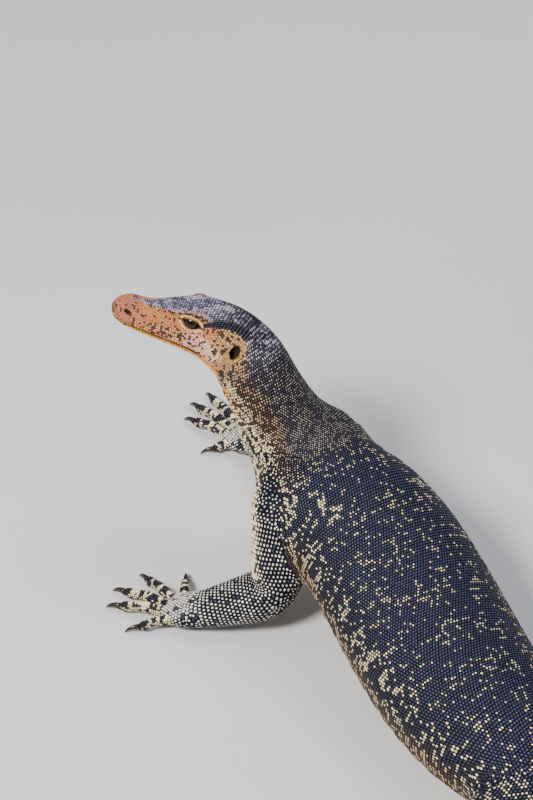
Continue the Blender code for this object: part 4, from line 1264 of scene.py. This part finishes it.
# %% [markdown]
# ## Clearing the roots
#
# A root that the union has swallowed is dropped, one near a join is brought onto the skin, and one that
# stands in an opening, on the lids or too close to a neighbour is dropped too. Skin that is still bare, as
# in an armpit, is then filled with scales in no order.

# %% Set the roots on the skin
skin_tree = surface_tree(skin)
# The columns of a root's row
KIND, ALONG, ANGLE, LENGTH, WIDTH = 0, 1, 2, 9, 13
PLACE, AHEAD, TURN = slice(3, 6), slice(6, 9), slice(10, 13)
LIDS_BARE = 1.50
openings = [eye_axes(hand) for hand in (1, -1)]


def lid_share(place):
    """How far out from the slit a place on the head is: 1 on the lid's rim, 2 at twice its reach."""
    nearest = 9.0
    for middle, out, along, high in openings:
        offset = place - middle
        if offset @ out > 0.001:
            reach = math.hypot((offset @ along) / EYE_SLIT[0], (offset @ high) / (EYE_SLIT[1] * 1.1))
            nearest = min(nearest, reach)
    return nearest


def in_opening(place):
    at_hole = hole_reach(nostrils, place) < 1.18 or hole_reach(ears, place) < 1.10
    return at_hole or lid_share(place) < LIDS_BARE


class Crowd:
    """Remembers which places are taken, in cells, so that a new one can be told if it is too close."""

    CELL = 0.004

    def __init__(self):
        self.cells = {}

    def key(self, place):
        return tuple(int(math.floor(value / self.CELL)) for value in place)

    def add(self, place):
        self.cells.setdefault(self.key(place), []).append(place)

    def clear(self, place, reach):
        near = product(*[(value - 1, value, value + 1) for value in self.key(place)])
        return not any(math.dist(other, place) < reach for cell in near for other in self.cells.get(cell, ()))


join_tree = tree_of(np.vstack([join_seams, seams[at_palm]]))
kept, waiting, crowd = [], [], Crowd()
for index, root in enumerate(roots):
    place = root[PLACE]
    nearest, normal, _, reach = skin_tree.find_nearest(place)
    if reach > 0.012 or nearest.z < 0.0004 or (0 < root[KIND] < 5 and root[LENGTH] > 1.4 * root[WIDTH]):
        continue
    if root[KIND] == 0 and root[ALONG] < 0.115 and in_opening(place):
        continue
    _, seam, join = join_tree.find(place)
    near_join = join < (0.030 if root[KIND] < 5 and seam < len(join_seams) else 0.004)
    if reach > 0.0005:
        if near_join:
            waiting.append((index, nearest, normal))
        continue
    kept.append((index, nearest, normal))
    crowd.add(tuple(nearest))
clear_count = len(kept)
for index, nearest, normal in waiting:
    spacing = min(roots[index][LENGTH], roots[index][WIDTH])
    if crowd.clear(tuple(nearest), 0.80 * spacing):
        kept.append((index, nearest, normal))
        crowd.add(tuple(nearest))
lattice_roots = roots[[item[0] for item in kept]]
lattice_roots[:, PLACE] = np.array([item[1] for item in kept])
normals = np.array([item[2] for item in kept])


def spacing_at(row):
    """The usual spacing across at an address."""
    if row[0] == 0:
        return float(read_edge(ACROSS, row[1]))
    return 0.0028 if row[0] < 5 else 0.0017


def bare_places():
    """Close-set places on every face that the rows have left bare, each with its address and nearest root."""
    near_roots = tree_of(lattice_roots[:, PLACE])
    points = corners(skin)
    found = []
    for face in skin.data.polygons:
        centre = np.array(face.center)
        if centre[2] < 0.0006:
            continue
        row = addresses[old_points.find(centre)[1]]
        _, model, reach = near_roots.find(centre)
        spacing = spacing_at(row)
        if reach < 0.62 * spacing or (row[0] == 0 and row[1] < 0.125):
            continue
        for corner in points[list(face.vertices)]:
            for share in (0.0, 0.5, 1.0):
                found.append((share * corner + (1 - share) * centre, row, model, spacing))
    return found


def fill_bare_skin():
    """Sets scales in no order on bare skin: first wide apart, then in what room is left."""
    rows, directions = [], []
    candidates = bare_places()
    for share in (1.0, 0.9, 0.8):
        for number in random.permutation(len(candidates)):
            place, row, model, spacing = candidates[number]
            if not crowd.clear(tuple(place), share * spacing):
                continue
            nearest, normal = skin_tree.find_nearest(place)[:2]
            like = lattice_roots[model]
            rows.append([*row[:3], *nearest, *like[AHEAD], 0.92 * spacing, *like[TURN], 1.04 * spacing])
            directions.append(normal)
            crowd.add(tuple(place))
    return np.array(rows), np.array(directions)


extra, extra_normals = fill_bare_skin()
roots = np.vstack([lattice_roots, extra])
normals = np.vstack([normals, extra_normals])
on_head = (roots[:, KIND] == 0) & (roots[:, ALONG] < 0.125)
shake = random.normal(0, 0.07, (len(roots), 2)).clip(-0.14, 0.14) * np.where(on_head, 1.0, 0.45)[:, None]
roots[:, PLACE] += (roots[:, AHEAD] * roots[:, [LENGTH]] * shake[:, :1]
                    + roots[:, TURN] * roots[:, [WIDTH]] * shake[:, 1:])
print("scales in rows:", len(lattice_roots), "at joins:", len(lattice_roots) - clear_count,
      "filled in:", len(extra))

# %% [markdown]
# ## One scale and a coat of them
#
# A water monitor's scale is a low oval bead with bare skin round its foot. It is modelled once, as two rings
# and a crown, and set on each root by Geometry Nodes: turned to lie along the body, stretched to the spacing
# there and slightly varied in size. The crown value runs from 0 at the foot to 1 at the top, and the material
# uses it to put the light spot in the middle of the scale. A flat patch of texture space is kept for each
# scale at its root's place on the unrolled skin.

# %% The scale and its node tree
PATCH = 0.003
SIDES = 8


def scale_shape(name, squareness):
    """A low dome of eight sides, one unit in radius and height, that carries its crown value."""
    points = []
    for radius, height in ((1.00, -0.45), (0.70, 0.66)):
        for angle in round_angles(SIDES) + math.pi / SIDES:
            x, y = [math.copysign(abs(value) ** squareness, value)
                    for value in (math.cos(angle), math.sin(angle))]
            points.append((x * radius, y * radius, height))
    points.append((0.06, 0.0, 1.0))
    faces = []
    for i in range(SIDES):
        j = (i + 1) % SIDES
        faces += [(i, j, SIDES + j), (i, SIDES + j, SIDES + i), (SIDES + i, SIDES + j, 2 * SIDES)]
    mesh = bpy.data.meshes.new(name)
    mesh.from_pydata(points, [], faces)
    store(mesh, "crown", "FLOAT", [0.0] * SIDES + [0.55] * SIDES + [1.0])
    mesh.shade_smooth()
    made = placed(name, mesh)
    made.hide_render = True
    return made


def coat_tree():
    """Sets a scale on every point, turned and stretched by the point's own attributes."""
    tree = bpy.data.node_groups.new("scale coat", "GeometryNodeTree")
    sockets = {}
    for name, kind, way in (("Roots", "Geometry", "INPUT"), ("Scale", "Object", "INPUT"),
                            ("Coat", "Geometry", "OUTPUT")):
        socket = tree.interface.new_socket(name, in_out=way, socket_type="NodeSocket" + kind)
        sockets[name] = socket.identifier

    def add(kind, **settings):
        node = tree.nodes.new(kind)
        for key, value in settings.items():
            setattr(node, key, value)
        return node

    def named(name, kind):
        node = add("GeometryNodeInputNamedAttribute", data_type=kind)
        node.inputs["Name"].default_value = name
        return node.outputs["Attribute"]

    entry, leave = add("NodeGroupInput"), add("NodeGroupOutput")
    points, shape = add("GeometryNodeMeshToPoints"), add("GeometryNodeObjectInfo")
    local = add("GeometryNodeStoreNamedAttribute", data_type="FLOAT_VECTOR", domain="POINT")
    setting, real = add("GeometryNodeInstanceOnPoints"), add("GeometryNodeRealizeInstances")
    half = add("ShaderNodeVectorMath", operation="SCALE")
    place = add("ShaderNodeVectorMath", operation="ADD")
    patch = add("GeometryNodeStoreNamedAttribute", data_type="FLOAT2", domain="CORNER")
    local.inputs["Name"].default_value = "foot"
    patch.inputs["Name"].default_value = "OFBake"
    half.inputs["Scale"].default_value = PATCH / 2
    for source, target in (
            (entry.outputs["Roots"], points.inputs["Mesh"]),
            (entry.outputs["Scale"], shape.inputs["Object"]),
            (shape.outputs["Geometry"], local.inputs["Geometry"]),
            (add("GeometryNodeInputPosition").outputs["Position"], local.inputs["Value"]),
            (points.outputs["Points"], setting.inputs["Points"]),
            (local.outputs["Geometry"], setting.inputs["Instance"]),
            (named("turned", "QUATERNION"), setting.inputs["Rotation"]),
            (named("stretch", "FLOAT_VECTOR"), setting.inputs["Scale"]),
            (setting.outputs["Instances"], real.inputs["Geometry"]),
            (named("foot", "FLOAT_VECTOR"), half.inputs[0]),
            (half.outputs["Vector"], place.inputs[0]),
            (named("unrolled", "FLOAT_VECTOR"), place.inputs[1]),
            (real.outputs["Geometry"], patch.inputs["Geometry"]),
            (place.outputs["Vector"], patch.inputs["Value"]),
            (patch.outputs["Geometry"], leave.inputs["Coat"])):
        tree.links.new(source, target)
    return tree, sockets


bead = scale_shape("bead", 1.0)
plate = scale_shape("plate", 0.72)
coat_nodes, coat_sockets = coat_tree()
print("triangles a scale:", len(bead.data.polygons), "nodes in the tree:", len(coat_nodes.nodes))

# %% [markdown]
# ## Materials
#
# Lizard skin is dry keratin: fairly rough, with a soft sheen where the scales are worn smooth. Each scale's
# material mixes its own ground and light colour by the crown value, and on a dark scale that light colour is
# a painted sheen, a highlight painted into the colour. The bare skin between is darker and duller, with a
# fine leathery bump. Claws are polished dark horn, and the eye is wet.

# %% Materials
class Finish:
    """A new material, with short ways to add nodes to its tree and to set its main shader."""

    def __init__(self, name):
        self.made = bpy.data.materials.new(name)
        self.made.use_nodes = True
        self.tree = self.made.node_tree

    def give(self, socket, value):
        if isinstance(value, bpy.types.NodeSocket):
            self.tree.links.new(value, socket)
        else:
            socket.default_value = value

    def set(self, **inputs):
        """Sets inputs of the main shader, and returns the finished material."""
        shader = self.tree.nodes["Principled BSDF"]
        for key, value in inputs.items():
            self.give(shader.inputs[key.replace("_", " ")], value)
        return self.made

    def node(self, kind, output, inputs=(), **settings):
        """Adds a node with its settings and inputs, and returns one of its outputs."""
        node = self.tree.nodes.new("ShaderNode" + kind)
        for key, value in settings.items():
            setattr(node, key, value)
        for key, value in dict(inputs).items():
            self.give(node.inputs[key], value)
        return node.outputs[output]

    def attribute(self, name, output="Color"):
        return self.node("Attribute", output, attribute_name=name)

    def grain(self, size):
        """Noise over object space with grains of about the given size in metres."""
        place = self.node("TexCoord", "Object")
        return self.node("TexNoise", "Fac", {"Scale": 1 / size, "Detail": 3.0, "Vector": place})

    def ramp(self, value, low, high, first=0.0, last=1.0):
        """A smooth step of a value from first to last."""
        inputs = {"From Min": low, "From Max": high, "To Min": first, "To Max": last, "Value": value}
        return self.node("MapRange", "Result", inputs, interpolation_type="SMOOTHSTEP")

    def blend(self, share, first, second, mode="MIX"):
        """A mix of two colours. The node's colour sockets are its inputs 6 and 7 and its output 2."""
        return self.node("Mix", 2, {0: share, 6: first, 7: second}, data_type="RGBA", blend_type=mode)


def scale_material():
    finish = Finish("lizard_scales")
    crown = finish.attribute("crown", "Fac")
    lift = finish.node("Math", 0, {0: crown, 1: finish.attribute("edge", "Fac")}, operation="SUBTRACT")
    colour = finish.blend(finish.ramp(lift, -0.10, 0.16), finish.attribute("ground"),
                          finish.attribute("light"))
    worn = finish.ramp(finish.grain(0.0012), 0.35, 0.65, 0.86, 1.08)
    return finish.set(Base_Color=finish.blend(1.0, colour, worn, "MULTIPLY"),
                      Roughness=finish.ramp(finish.grain(0.02), 0.3, 0.7, 0.30, 0.44),
                      Specular_IOR_Level=finish.ramp(crown, 0.15, 0.80, 0.03, 0.40))


def skin_material():
    finish = Finish("lizard_skin")
    leather = {"Strength": 0.5, "Distance": 0.0003, "Height": finish.grain(0.0009)}
    return finish.set(Base_Color=finish.attribute("ground"), Specular_IOR_Level=0.12,
                      Roughness=finish.ramp(finish.grain(0.02), 0.3, 0.7, 0.55, 0.70),
                      Normal=finish.node("Bump", "Normal", leather))


def claw_material():
    finish = Finish("claw_horn")
    streak = finish.ramp(finish.grain(0.0016), 0.35, 0.70)
    colour = finish.blend(streak, (0.010, 0.007, 0.006, 1), (0.045, 0.026, 0.016, 1))
    return finish.set(Base_Color=colour, Roughness=0.26)


def eye_material():
    finish = Finish("monitor_eye")
    gaze = finish.attribute("gaze", "Fac")
    fibres = finish.ramp(finish.grain(0.0006), 0.35, 0.65)
    colour = finish.blend(fibres, (0.006, 0.003, 0.002, 1), (0.022, 0.010, 0.005, 1))
    colour = finish.blend(finish.ramp(gaze, 0.36, 0.42), (0.060, 0.026, 0.010, 1), colour)
    colour = finish.blend(finish.ramp(gaze, 0.33, 0.36), (0.002, 0.002, 0.003, 1), colour)
    colour = finish.blend(finish.ramp(gaze, 0.78, 0.92), colour, (0.012, 0.008, 0.007, 1))
    return finish.set(Base_Color=colour, Roughness=0.30, Specular_IOR_Level=0.0, Coat_Weight=1.0,
                      Coat_IOR=1.376, Coat_Roughness=0.02)


def floor_material():
    finish = Finish("studio_floor")
    return finish.set(Base_Color=finish.ramp(finish.grain(0.6), 0.3, 0.7, 0.62, 0.68), Roughness=0.75)


skin_finish, scale_finish, claw_finish = skin_material(), scale_material(), claw_material()
eye_finish, floor_finish = eye_material(), floor_material()
print("materials:", [item.name for item in (skin_finish, scale_finish, claw_finish, eye_finish,
                                            floor_finish)])

# %% [markdown]
# ## Colouring the skin
#
# Every vertex of the skin looks up the address of the nearest source point and gets its paint from there.
# Bare skin between scales is darker than the scales. The mouth line, the nostrils and the ear openings are
# the darkest, since no light reaches into them.

# %% Colour the skin
skin.name = "monitor_skin"
skin_corners = np.clip(corners(skin), cad_low, cad_high)
put_back(skin, skin_corners)
nearest_source = np.array([old_points.find(point)[1] for point in skin_corners])
address = addresses[nearest_source]
skin_paint = markings(address[:, 0].astype(int), address[:, 1], address[:, 2], skin_corners,
                      corners(skin, "normal"))
cover = (skin_paint.share * skin_paint.spot ** 2)[:, None]
facial = ((address[:, 0] == 0) * (1 - ease(address[:, 1], 0.100, 0.126)))[:, None]
pale = np.maximum(facial, ease(cover, 0.55, 0.75))
ground = skin_paint.dark * 0.9 + (skin_paint.light - skin_paint.dark) * cover ** 2 * (0.04 + 0.46 * pale)
holes = np.maximum(ease(hole_reach(nostrils, skin_corners), 1.12, 0.98),
                   ease(hole_reach(ears, skin_corners), 1.10, 0.98))
height = height_of(address[:, 2])
groove = np.exp(-((height - MOUTH_HEIGHT) / 0.085) ** 2) * (address[:, 0] == 0)
groove = groove * (1 - ease(address[:, 1], MOUTH_CORNER, MOUTH_CORNER + 0.004))
holes = np.maximum(holes, groove)[:, None]
ground = ground * (1 - holes) + np.array((0.012, 0.008, 0.007)) * holes
store(skin.data, "ground", "FLOAT_COLOR", with_alpha(ground))
# The boolean and the node tree leave an empty material slot, which has to go first.
skin.data.materials.clear()
skin.data.materials.append(skin_finish)
skin.data.shade_smooth()
print("skin vertices coloured:", len(skin_corners), "dark in openings:", int((holes > 0.5).sum()))

# %% [markdown]
# ## The coats
#
# The scales are joined into coats, one for each stretch of the animal. A scale is light or dark by chance,
# with the odds that the markings give at its place, and light scales carry a light spot on a dark ground.
# Dark scales carry a painted sheen instead: their crowns are lifted toward steel blue or copper, as a
# highlight would lift them.

# %% Set the scales
FILL = 0.95
DASH = 2.0
RISE = ((0.000, 0.17), (0.110, 0.19), (0.200, 0.20), (0.500, 0.17), (1.500, 0.15))


def spot_edge(share):
    """The crown value at which a light spot of this share of the scale's radius ends."""
    return np.where(share > 0.70, 0.55 * (1 - share) / 0.30, 0.55 + 0.45 * (0.70 - share) / 0.70)


def unrolled(chosen, start, end):
    """A place for each root on the flat of its piece, with the digits in strips of their own."""
    kinds, along, angle = roots[chosen, KIND], roots[chosen, ALONG], roots[chosen, ANGLE]
    across = 0.5 + (angle - BACK) / (2 * math.pi)
    flat = np.column_stack([(along - start) / (end - start), across])
    if (kinds > 0).any():
        number = (kinds - 5) % 5
        flat[:, 1] = np.where(kinds >= 5, 0.58 + (number + across) * 0.084, across * 0.56)
        flat[:, 0] = np.where(kinds >= 5, along, flat[:, 0])
    return 0.01 + 0.98 * flat.clip(0, 1)


def turns_of(ahead, normal):
    """Quaternions that lay a scale's x along the body and its z out of the skin."""
    x = unit(ahead - normal * (ahead * normal).sum(axis=1, keepdims=True))
    y = np.cross(normal, x)
    return np.array([Matrix(np.column_stack(axes)).to_quaternion() for axes in zip(x, y, normal)])


paint = markings(roots[:, KIND].astype(int), roots[:, ALONG], roots[:, ANGLE], roots[:, PLACE], normals)
chance = random.random(len(roots))
trunk = (roots[:, KIND] == 0) & (roots[:, ALONG] > 0.235)
girth = read_edge([(row[0], row[1] + row[2]) for row in BODY_SECTIONS], roots[trunk, ALONG]) / 2
_, row_number = np.unique(roots[trunk, ALONG], return_inverse=True)
cells = np.floor(roots[trunk, ANGLE] * girth / (DASH * roots[trunk, WIDTH]) + 0.37 * row_number)
_, dash_number = np.unique(row_number * 1000 + cells, return_inverse=True)
dashed = 0.18 + 0.34 * ease(np.sin(roots[trunk, ANGLE]), 0.85, 0.50)
chance[trunk] = dashed * random.random(dash_number.max() + 1)[dash_number] + (1 - dashed) * chance[trunk]
is_light = chance < paint.share
jitter = random.normal(1.0, 0.09, (len(roots), 1))
# A dark scale's crown is its dark colour lifted by the painted sheen, a highlight painted into the colour.
dark_crown_with_sheen = paint.dark + paint.painted_sheen * (0.6 + 0.8 * random.random((len(roots), 1)))
light = np.where(is_light[:, None], paint.light * jitter, dark_crown_with_sheen)
foot = np.where(is_light[:, None], paint.dark + 0.45 * paint.light * paint.spot[:, None] ** 7,
                paint.dark * 0.8)
spot_size = np.where(is_light, paint.spot * random.normal(1.0, 0.10, len(roots)), 0.60).clip(0.2, 0.97)
rise = np.where(roots[:, KIND] == 0, read_edge(RISE, roots[:, ALONG]), 0.20)
size = random.normal(1.0, np.where(on_head, 0.06, 0.03)).clip(0.88, 1.06)
stretch = np.column_stack([0.577 * FILL * roots[:, LENGTH] * size, 0.5 * FILL * roots[:, WIDTH] * size,
                           rise * roots[:, WIDTH]])
print("light scales:", int(is_light.sum()), "dark scales:", int((~is_light).sum()))


def coat(name, chosen, start, end, scale):
    """Sets one scale on each chosen root with the node tree, and makes a plain mesh of the result."""
    mesh = bpy.data.meshes.new(name)
    mesh.from_pydata(roots[chosen, PLACE].tolist(), [], [])
    flat = unrolled(chosen, start, end)
    store(mesh, "turned", "QUATERNION", turns_of(roots[chosen, AHEAD], normals[chosen]))
    store(mesh, "stretch", "FLOAT_VECTOR", stretch[chosen])
    store(mesh, "unrolled", "FLOAT_VECTOR", np.column_stack([flat, np.zeros(len(flat))]))
    store(mesh, "edge", "FLOAT", spot_edge(spot_size[chosen]))
    store(mesh, "light", "FLOAT_COLOR", with_alpha(light[chosen]))
    store(mesh, "ground", "FLOAT_COLOR", with_alpha(foot[chosen]))
    made = placed(name, mesh)
    modifier = made.modifiers.new("coat", "NODES")
    modifier.node_group = coat_nodes
    modifier[coat_sockets["Scale"]] = scale
    apply_modifiers(made)
    whole = made.data
    whole.name = name
    whole.materials.clear()
    whole.materials.append(scale_finish)
    for spare in ("turned", "stretch", "unrolled", "foot"):
        if spare in whole.attributes:
            whole.attributes.remove(whole.attributes[spare])
    put_back(made, np.clip(corners(made), cad_low, cad_high))
    whole.shade_smooth()
    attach(made, "root")
    print(name, len(flat), "scales", len(whole.polygons), "triangles")


body_kind = roots[:, KIND] == 0
STRETCHES = (("head", 0.118), ("neck", 0.235), ("shoulders", 0.330), ("back", 0.420), ("loin", 0.520),
             ("hips", 0.640), ("tail_root", 0.960), ("tail_tip", 1.500))
start = 0.0
for name, end in STRETCHES:
    chosen = np.flatnonzero(body_kind & (roots[:, ALONG] >= start) & (roots[:, ALONG] < end))
    if name in ("head", "neck"):
        coat("coat_" + name, chosen, start, end, bead)
    else:
        coat("coat_" + name, chosen, start, end, plate)
    start = end
for index, limb in enumerate(limbs):
    own_digit = (roots[:, KIND] >= 5 + 5 * index) & (roots[:, KIND] < 10 + 5 * index)
    chosen = np.flatnonzero((roots[:, KIND] == 1 + index) | own_digit)
    coat("coat_" + limb.name, chosen, 0.0, limb.line.length, bead)
bpy.data.objects.remove(bead)
bpy.data.objects.remove(plate)

# %% [markdown]
# ## Lids and eyes
#
# A monitor's eye sits deep between two fleshy lids that end in a thin dark rim. Round the rim lie two low
# folds with a crease between them. The lids are a band that starts on the eyeball and runs out under the
# scales of the head. The eyeball is a ball with a round pupil, a dark brown iris and a wet clear coat.

# %% Lids and eyes
LID_REACH = 1.76
LID_SINK = 0.0013
LID_FOLDS = ((1.06, 0.04, 0.00034), (1.18, 0.035, -0.00028), (1.32, 0.055, 0.00030), (1.45, 0.035, -0.00026))
DARK_RIM = np.array((0.014, 0.010, 0.009))
CORNER_REACH = 0.0122
LID_MEETS_SKIN = 1.42


def lid_point(angle, share):
    """A place on the lid seen from outside, from the slit's rim at share 1 outward."""
    point = 0.35 * max(0.0, (1.9 - share) / 0.9)
    x = EYE_SLIT[0] * share * math.cos(angle)
    z = EYE_SLIT[1] * (1 + 0.10 * (share - 1)) * share * math.sin(angle) * abs(math.sin(angle)) ** point
    return x, z


def lid_colour(x, z, share):
    colour = np.array((0.50, 0.18, 0.05))
    pale = ease(share, 1.07, 1.11) * (1 - ease(share, 1.50, 1.56))
    colour = colour + ((0.80, 0.50, 0.22) - colour) * pale
    colour = colour * (1 - 0.85 * math.exp(-((share - 1.60) / 0.035) ** 2))
    colour = colour * (1 - 0.35 * math.exp(-((share - 1.25) / 0.020) ** 2))
    rim = 1 - ease(share, 1.03, 1.08)
    wedge = 0.0017 - max(0.0, abs(x) - 0.0055) * 0.26
    corner = math.exp(-(z / max(wedge, 0.00015)) ** 6) * float(ease(abs(x), 0.0046, 0.0056))
    corner *= 1 - float(ease(abs(x), CORNER_REACH - 0.001, CORNER_REACH))
    return colour + (DARK_RIM - colour) * max(rim, corner)


def skin_over(place, out):
    """How far out over a place the skin stands, or None where it is open."""
    hit = skin_tree.ray_cast(place + out * 0.03, -out, 0.05)[0]
    return None if hit is None else (np.array(hit) - place) @ out


def make_lids(hand, label):
    middle, out, along, high = eye_axes(hand)
    shares = np.concatenate([[0.94], np.linspace(1.0, 1.54, 26), [1.60, 1.67, LID_REACH]])
    angles = round_angles(72)
    points, colours = [], []
    for share in shares:
        for angle in angles:
            x, z = lid_point(angle, share)
            flat = middle + along * x + high * z
            ball_height = math.sqrt(max(0.0, (EYE_RADIUS + 0.00025) ** 2 - x * x - z * z))
            skin_height = skin_over(flat, out) if share > 1.35 else None
            if skin_height is None:
                far_x, far_z = lid_point(angle, LID_MEETS_SKIN)
                skin_height = skin_over(middle + along * far_x + high * far_z, out)
            ball_height = max(ball_height, skin_height - LID_SINK)
            height = ball_height + (skin_height - ball_height) * float(ease(share, 1.0, LID_MEETS_SKIN))
            height += sum(rise * math.exp(-((share - place) / width) ** 2)
                          for place, width, rise in LID_FOLDS)
            height += 0.00022 * (1 - float(ease(share, 1.54, 1.66))) * float(ease(share, 1.3, 1.45))
            height -= 0.0009 * float(ease(share, 1.56, LID_REACH)) + 0.0012 * (share < 1.0)
            points.append(flat + out * height)
            colours.append(lid_colour(x, z, share))
    columns = len(angles)
    faces = []
    for row in range(len(shares) - 1):
        for column in range(columns):
            a, b = row * columns + column, row * columns + (column + 1) % columns
            faces.append((a, b, b + columns, a + columns))
    mesh = bpy.data.meshes.new("lids_" + label)
    mesh.from_pydata([tuple(point) for point in points], [], faces)
    mesh.materials.append(skin_finish)
    made = placed("lids_" + label, mesh)
    mesh.update()
    if mesh.polygons[len(faces) // 2].normal @ Vector(out) < 0:
        mesh.flip_normals()
    store(mesh, "ground", "FLOAT_COLOR", with_alpha(np.array(colours)))
    mesh.shade_smooth()
    return made


def make_eye(hand, label):
    middle, out, along, high = eye_axes(hand)
    mesh = sphere("eyeball_" + label, 48, 32, EYE_RADIUS)
    made = placed("eyeball_" + label, mesh)
    local = corners(made)
    gaze = np.hypot(local[:, 0], local[:, 1]) / EYE_RADIUS + (local[:, 2] < 0)
    put_back(made, middle + local @ np.array([along, np.cross(out, along), out]))
    store(mesh, "gaze", "FLOAT", gaze)
    mesh.materials.append(eye_finish)
    mesh.shade_smooth()
    return made


for hand, label in ((1, "left"), (-1, "right")):
    lids = make_lids(hand, label)
    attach(lids, "root")
    eyeball = make_eye(hand, label)
    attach(eyeball, "root")
    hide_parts("eye_" + label)
print("lids with", len(LID_FOLDS), "folds and creases, eyeballs of radius", EYE_RADIUS)

# %% [markdown]
# ## Claws
#
# Claws are flattened hooks of dark horn, made on the same line as in the CAD model with more rings. The
# lowest points are laid flat on the floor, as the CAD claws are.

# %% Claws
def joined(name, parts):
    """One object from several closed meshes."""
    whole = bmesh.new()
    for part in parts:
        whole.from_mesh(part.data)
        bpy.data.objects.remove(part)
    mesh = bpy.data.meshes.new(name)
    whole.to_mesh(mesh)
    whole.free()
    return placed(name, mesh)


claw_places = np.concatenate([np.linspace(0, 0.9, 13), [0.95, 0.98, 1.0]])
for index, limb in enumerate(limbs):
    parts = []
    for _, number, digit, thickness in digits[5 * index:5 * index + 5]:
        rings = claw_points(digit, thickness, claw_places, 16)
        rings = np.clip(rings, cad_low, cad_high)
        parts.append(tube(f"claw_{number}", rings))
    claws = joined("claws_" + limb.name, parts)
    claws.data.materials.append(claw_finish)
    claws.data.shade_smooth()
    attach(claws, "root")
    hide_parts(*[f"{limb.name}_claw_{number}" for number in range(1, 6)])
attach(skin, "root")
flesh = [name for name in frame["nodes"] if "claw" not in name and not name.startswith("eye_")]
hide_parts(*flesh)
print("the skin stands for", len(flesh), "nodes")

# %% [markdown]
# ## Floor, light and camera
#
# A pale seamless floor and large soft lights, as in a museum's photo studio. The main light comes from the
# upper left, and a weaker one fills the shadows from the right. The camera looks down at 38 degrees, as the
# photo's does, from 2.6 metres off with a long lens.

# %% Floor, light and camera
FLOOR_SIZE = 14.0
mesh = bpy.data.meshes.new("studio_floor")
half = FLOOR_SIZE / 2
mesh.from_pydata([(-half, -half, 0), (half, -half, 0), (half, half, 0), (-half, half, 0)], [], [(0, 1, 2, 3)])
mesh.materials.append(floor_finish)
floor = placed("studio_floor", mesh)
floor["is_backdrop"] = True


def soft_light(name, place, size, power, tint):
    """A square lamp that faces the animal's shoulders."""
    lamp = bpy.data.lights.new(name, "AREA")
    lamp.shape, lamp.size, lamp.energy, lamp.color = "SQUARE", size, power, tint
    made = placed(name, lamp)
    made.location = place
    made.rotation_euler = (Vector((-0.35, 0.05, 0.08)) - Vector(place)).to_track_quat("-Z", "Y").to_euler()


soft_light("main_light", (-1.9, -1.4, 2.3), 0.7, 150, (1.0, 0.965, 0.91))
soft_light("top_light", (0.3, 0.9, 2.6), 1.4, 40, (0.90, 0.95, 1.0))
soft_light("fill_light", (1.8, -1.9, 1.2), 1.6, 10, (1.0, 0.98, 0.96))
world = bpy.data.worlds.new("studio")
world.use_nodes = True
world.node_tree.nodes["Background"].inputs["Color"].default_value = (0.86, 0.90, 1.0, 1)
world.node_tree.nodes["Background"].inputs["Strength"].default_value = 0.30
bpy.context.scene.world = world

CAMERA_PITCH = math.radians(38)
CAMERA_AIM = np.array([0.058 - BOX_MIDDLE[0], 0.0989 - BOX_MIDDLE[1], 0.1266])
CAMERA_DISTANCE = 2.6
SENSOR, LENS = 36, 154.44
camera = placed("camera", bpy.data.cameras.new("camera"))
sight = np.array([0.0, math.cos(CAMERA_PITCH), -math.sin(CAMERA_PITCH)])
camera.location = CAMERA_AIM - CAMERA_DISTANCE * sight
camera.rotation_euler = (math.pi / 2 - CAMERA_PITCH, 0, 0)
camera.data.sensor_fit, camera.data.sensor_height, camera.data.lens = "VERTICAL", SENSOR, LENS
bpy.context.scene.camera = camera
print("camera at", np.round(np.array(camera.location), 3))

# %% Size and finish
bpy.context.view_layer.update()
low, high = (list(corner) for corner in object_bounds())
print("visual box:", np.round(low, 4), np.round(high, 4))
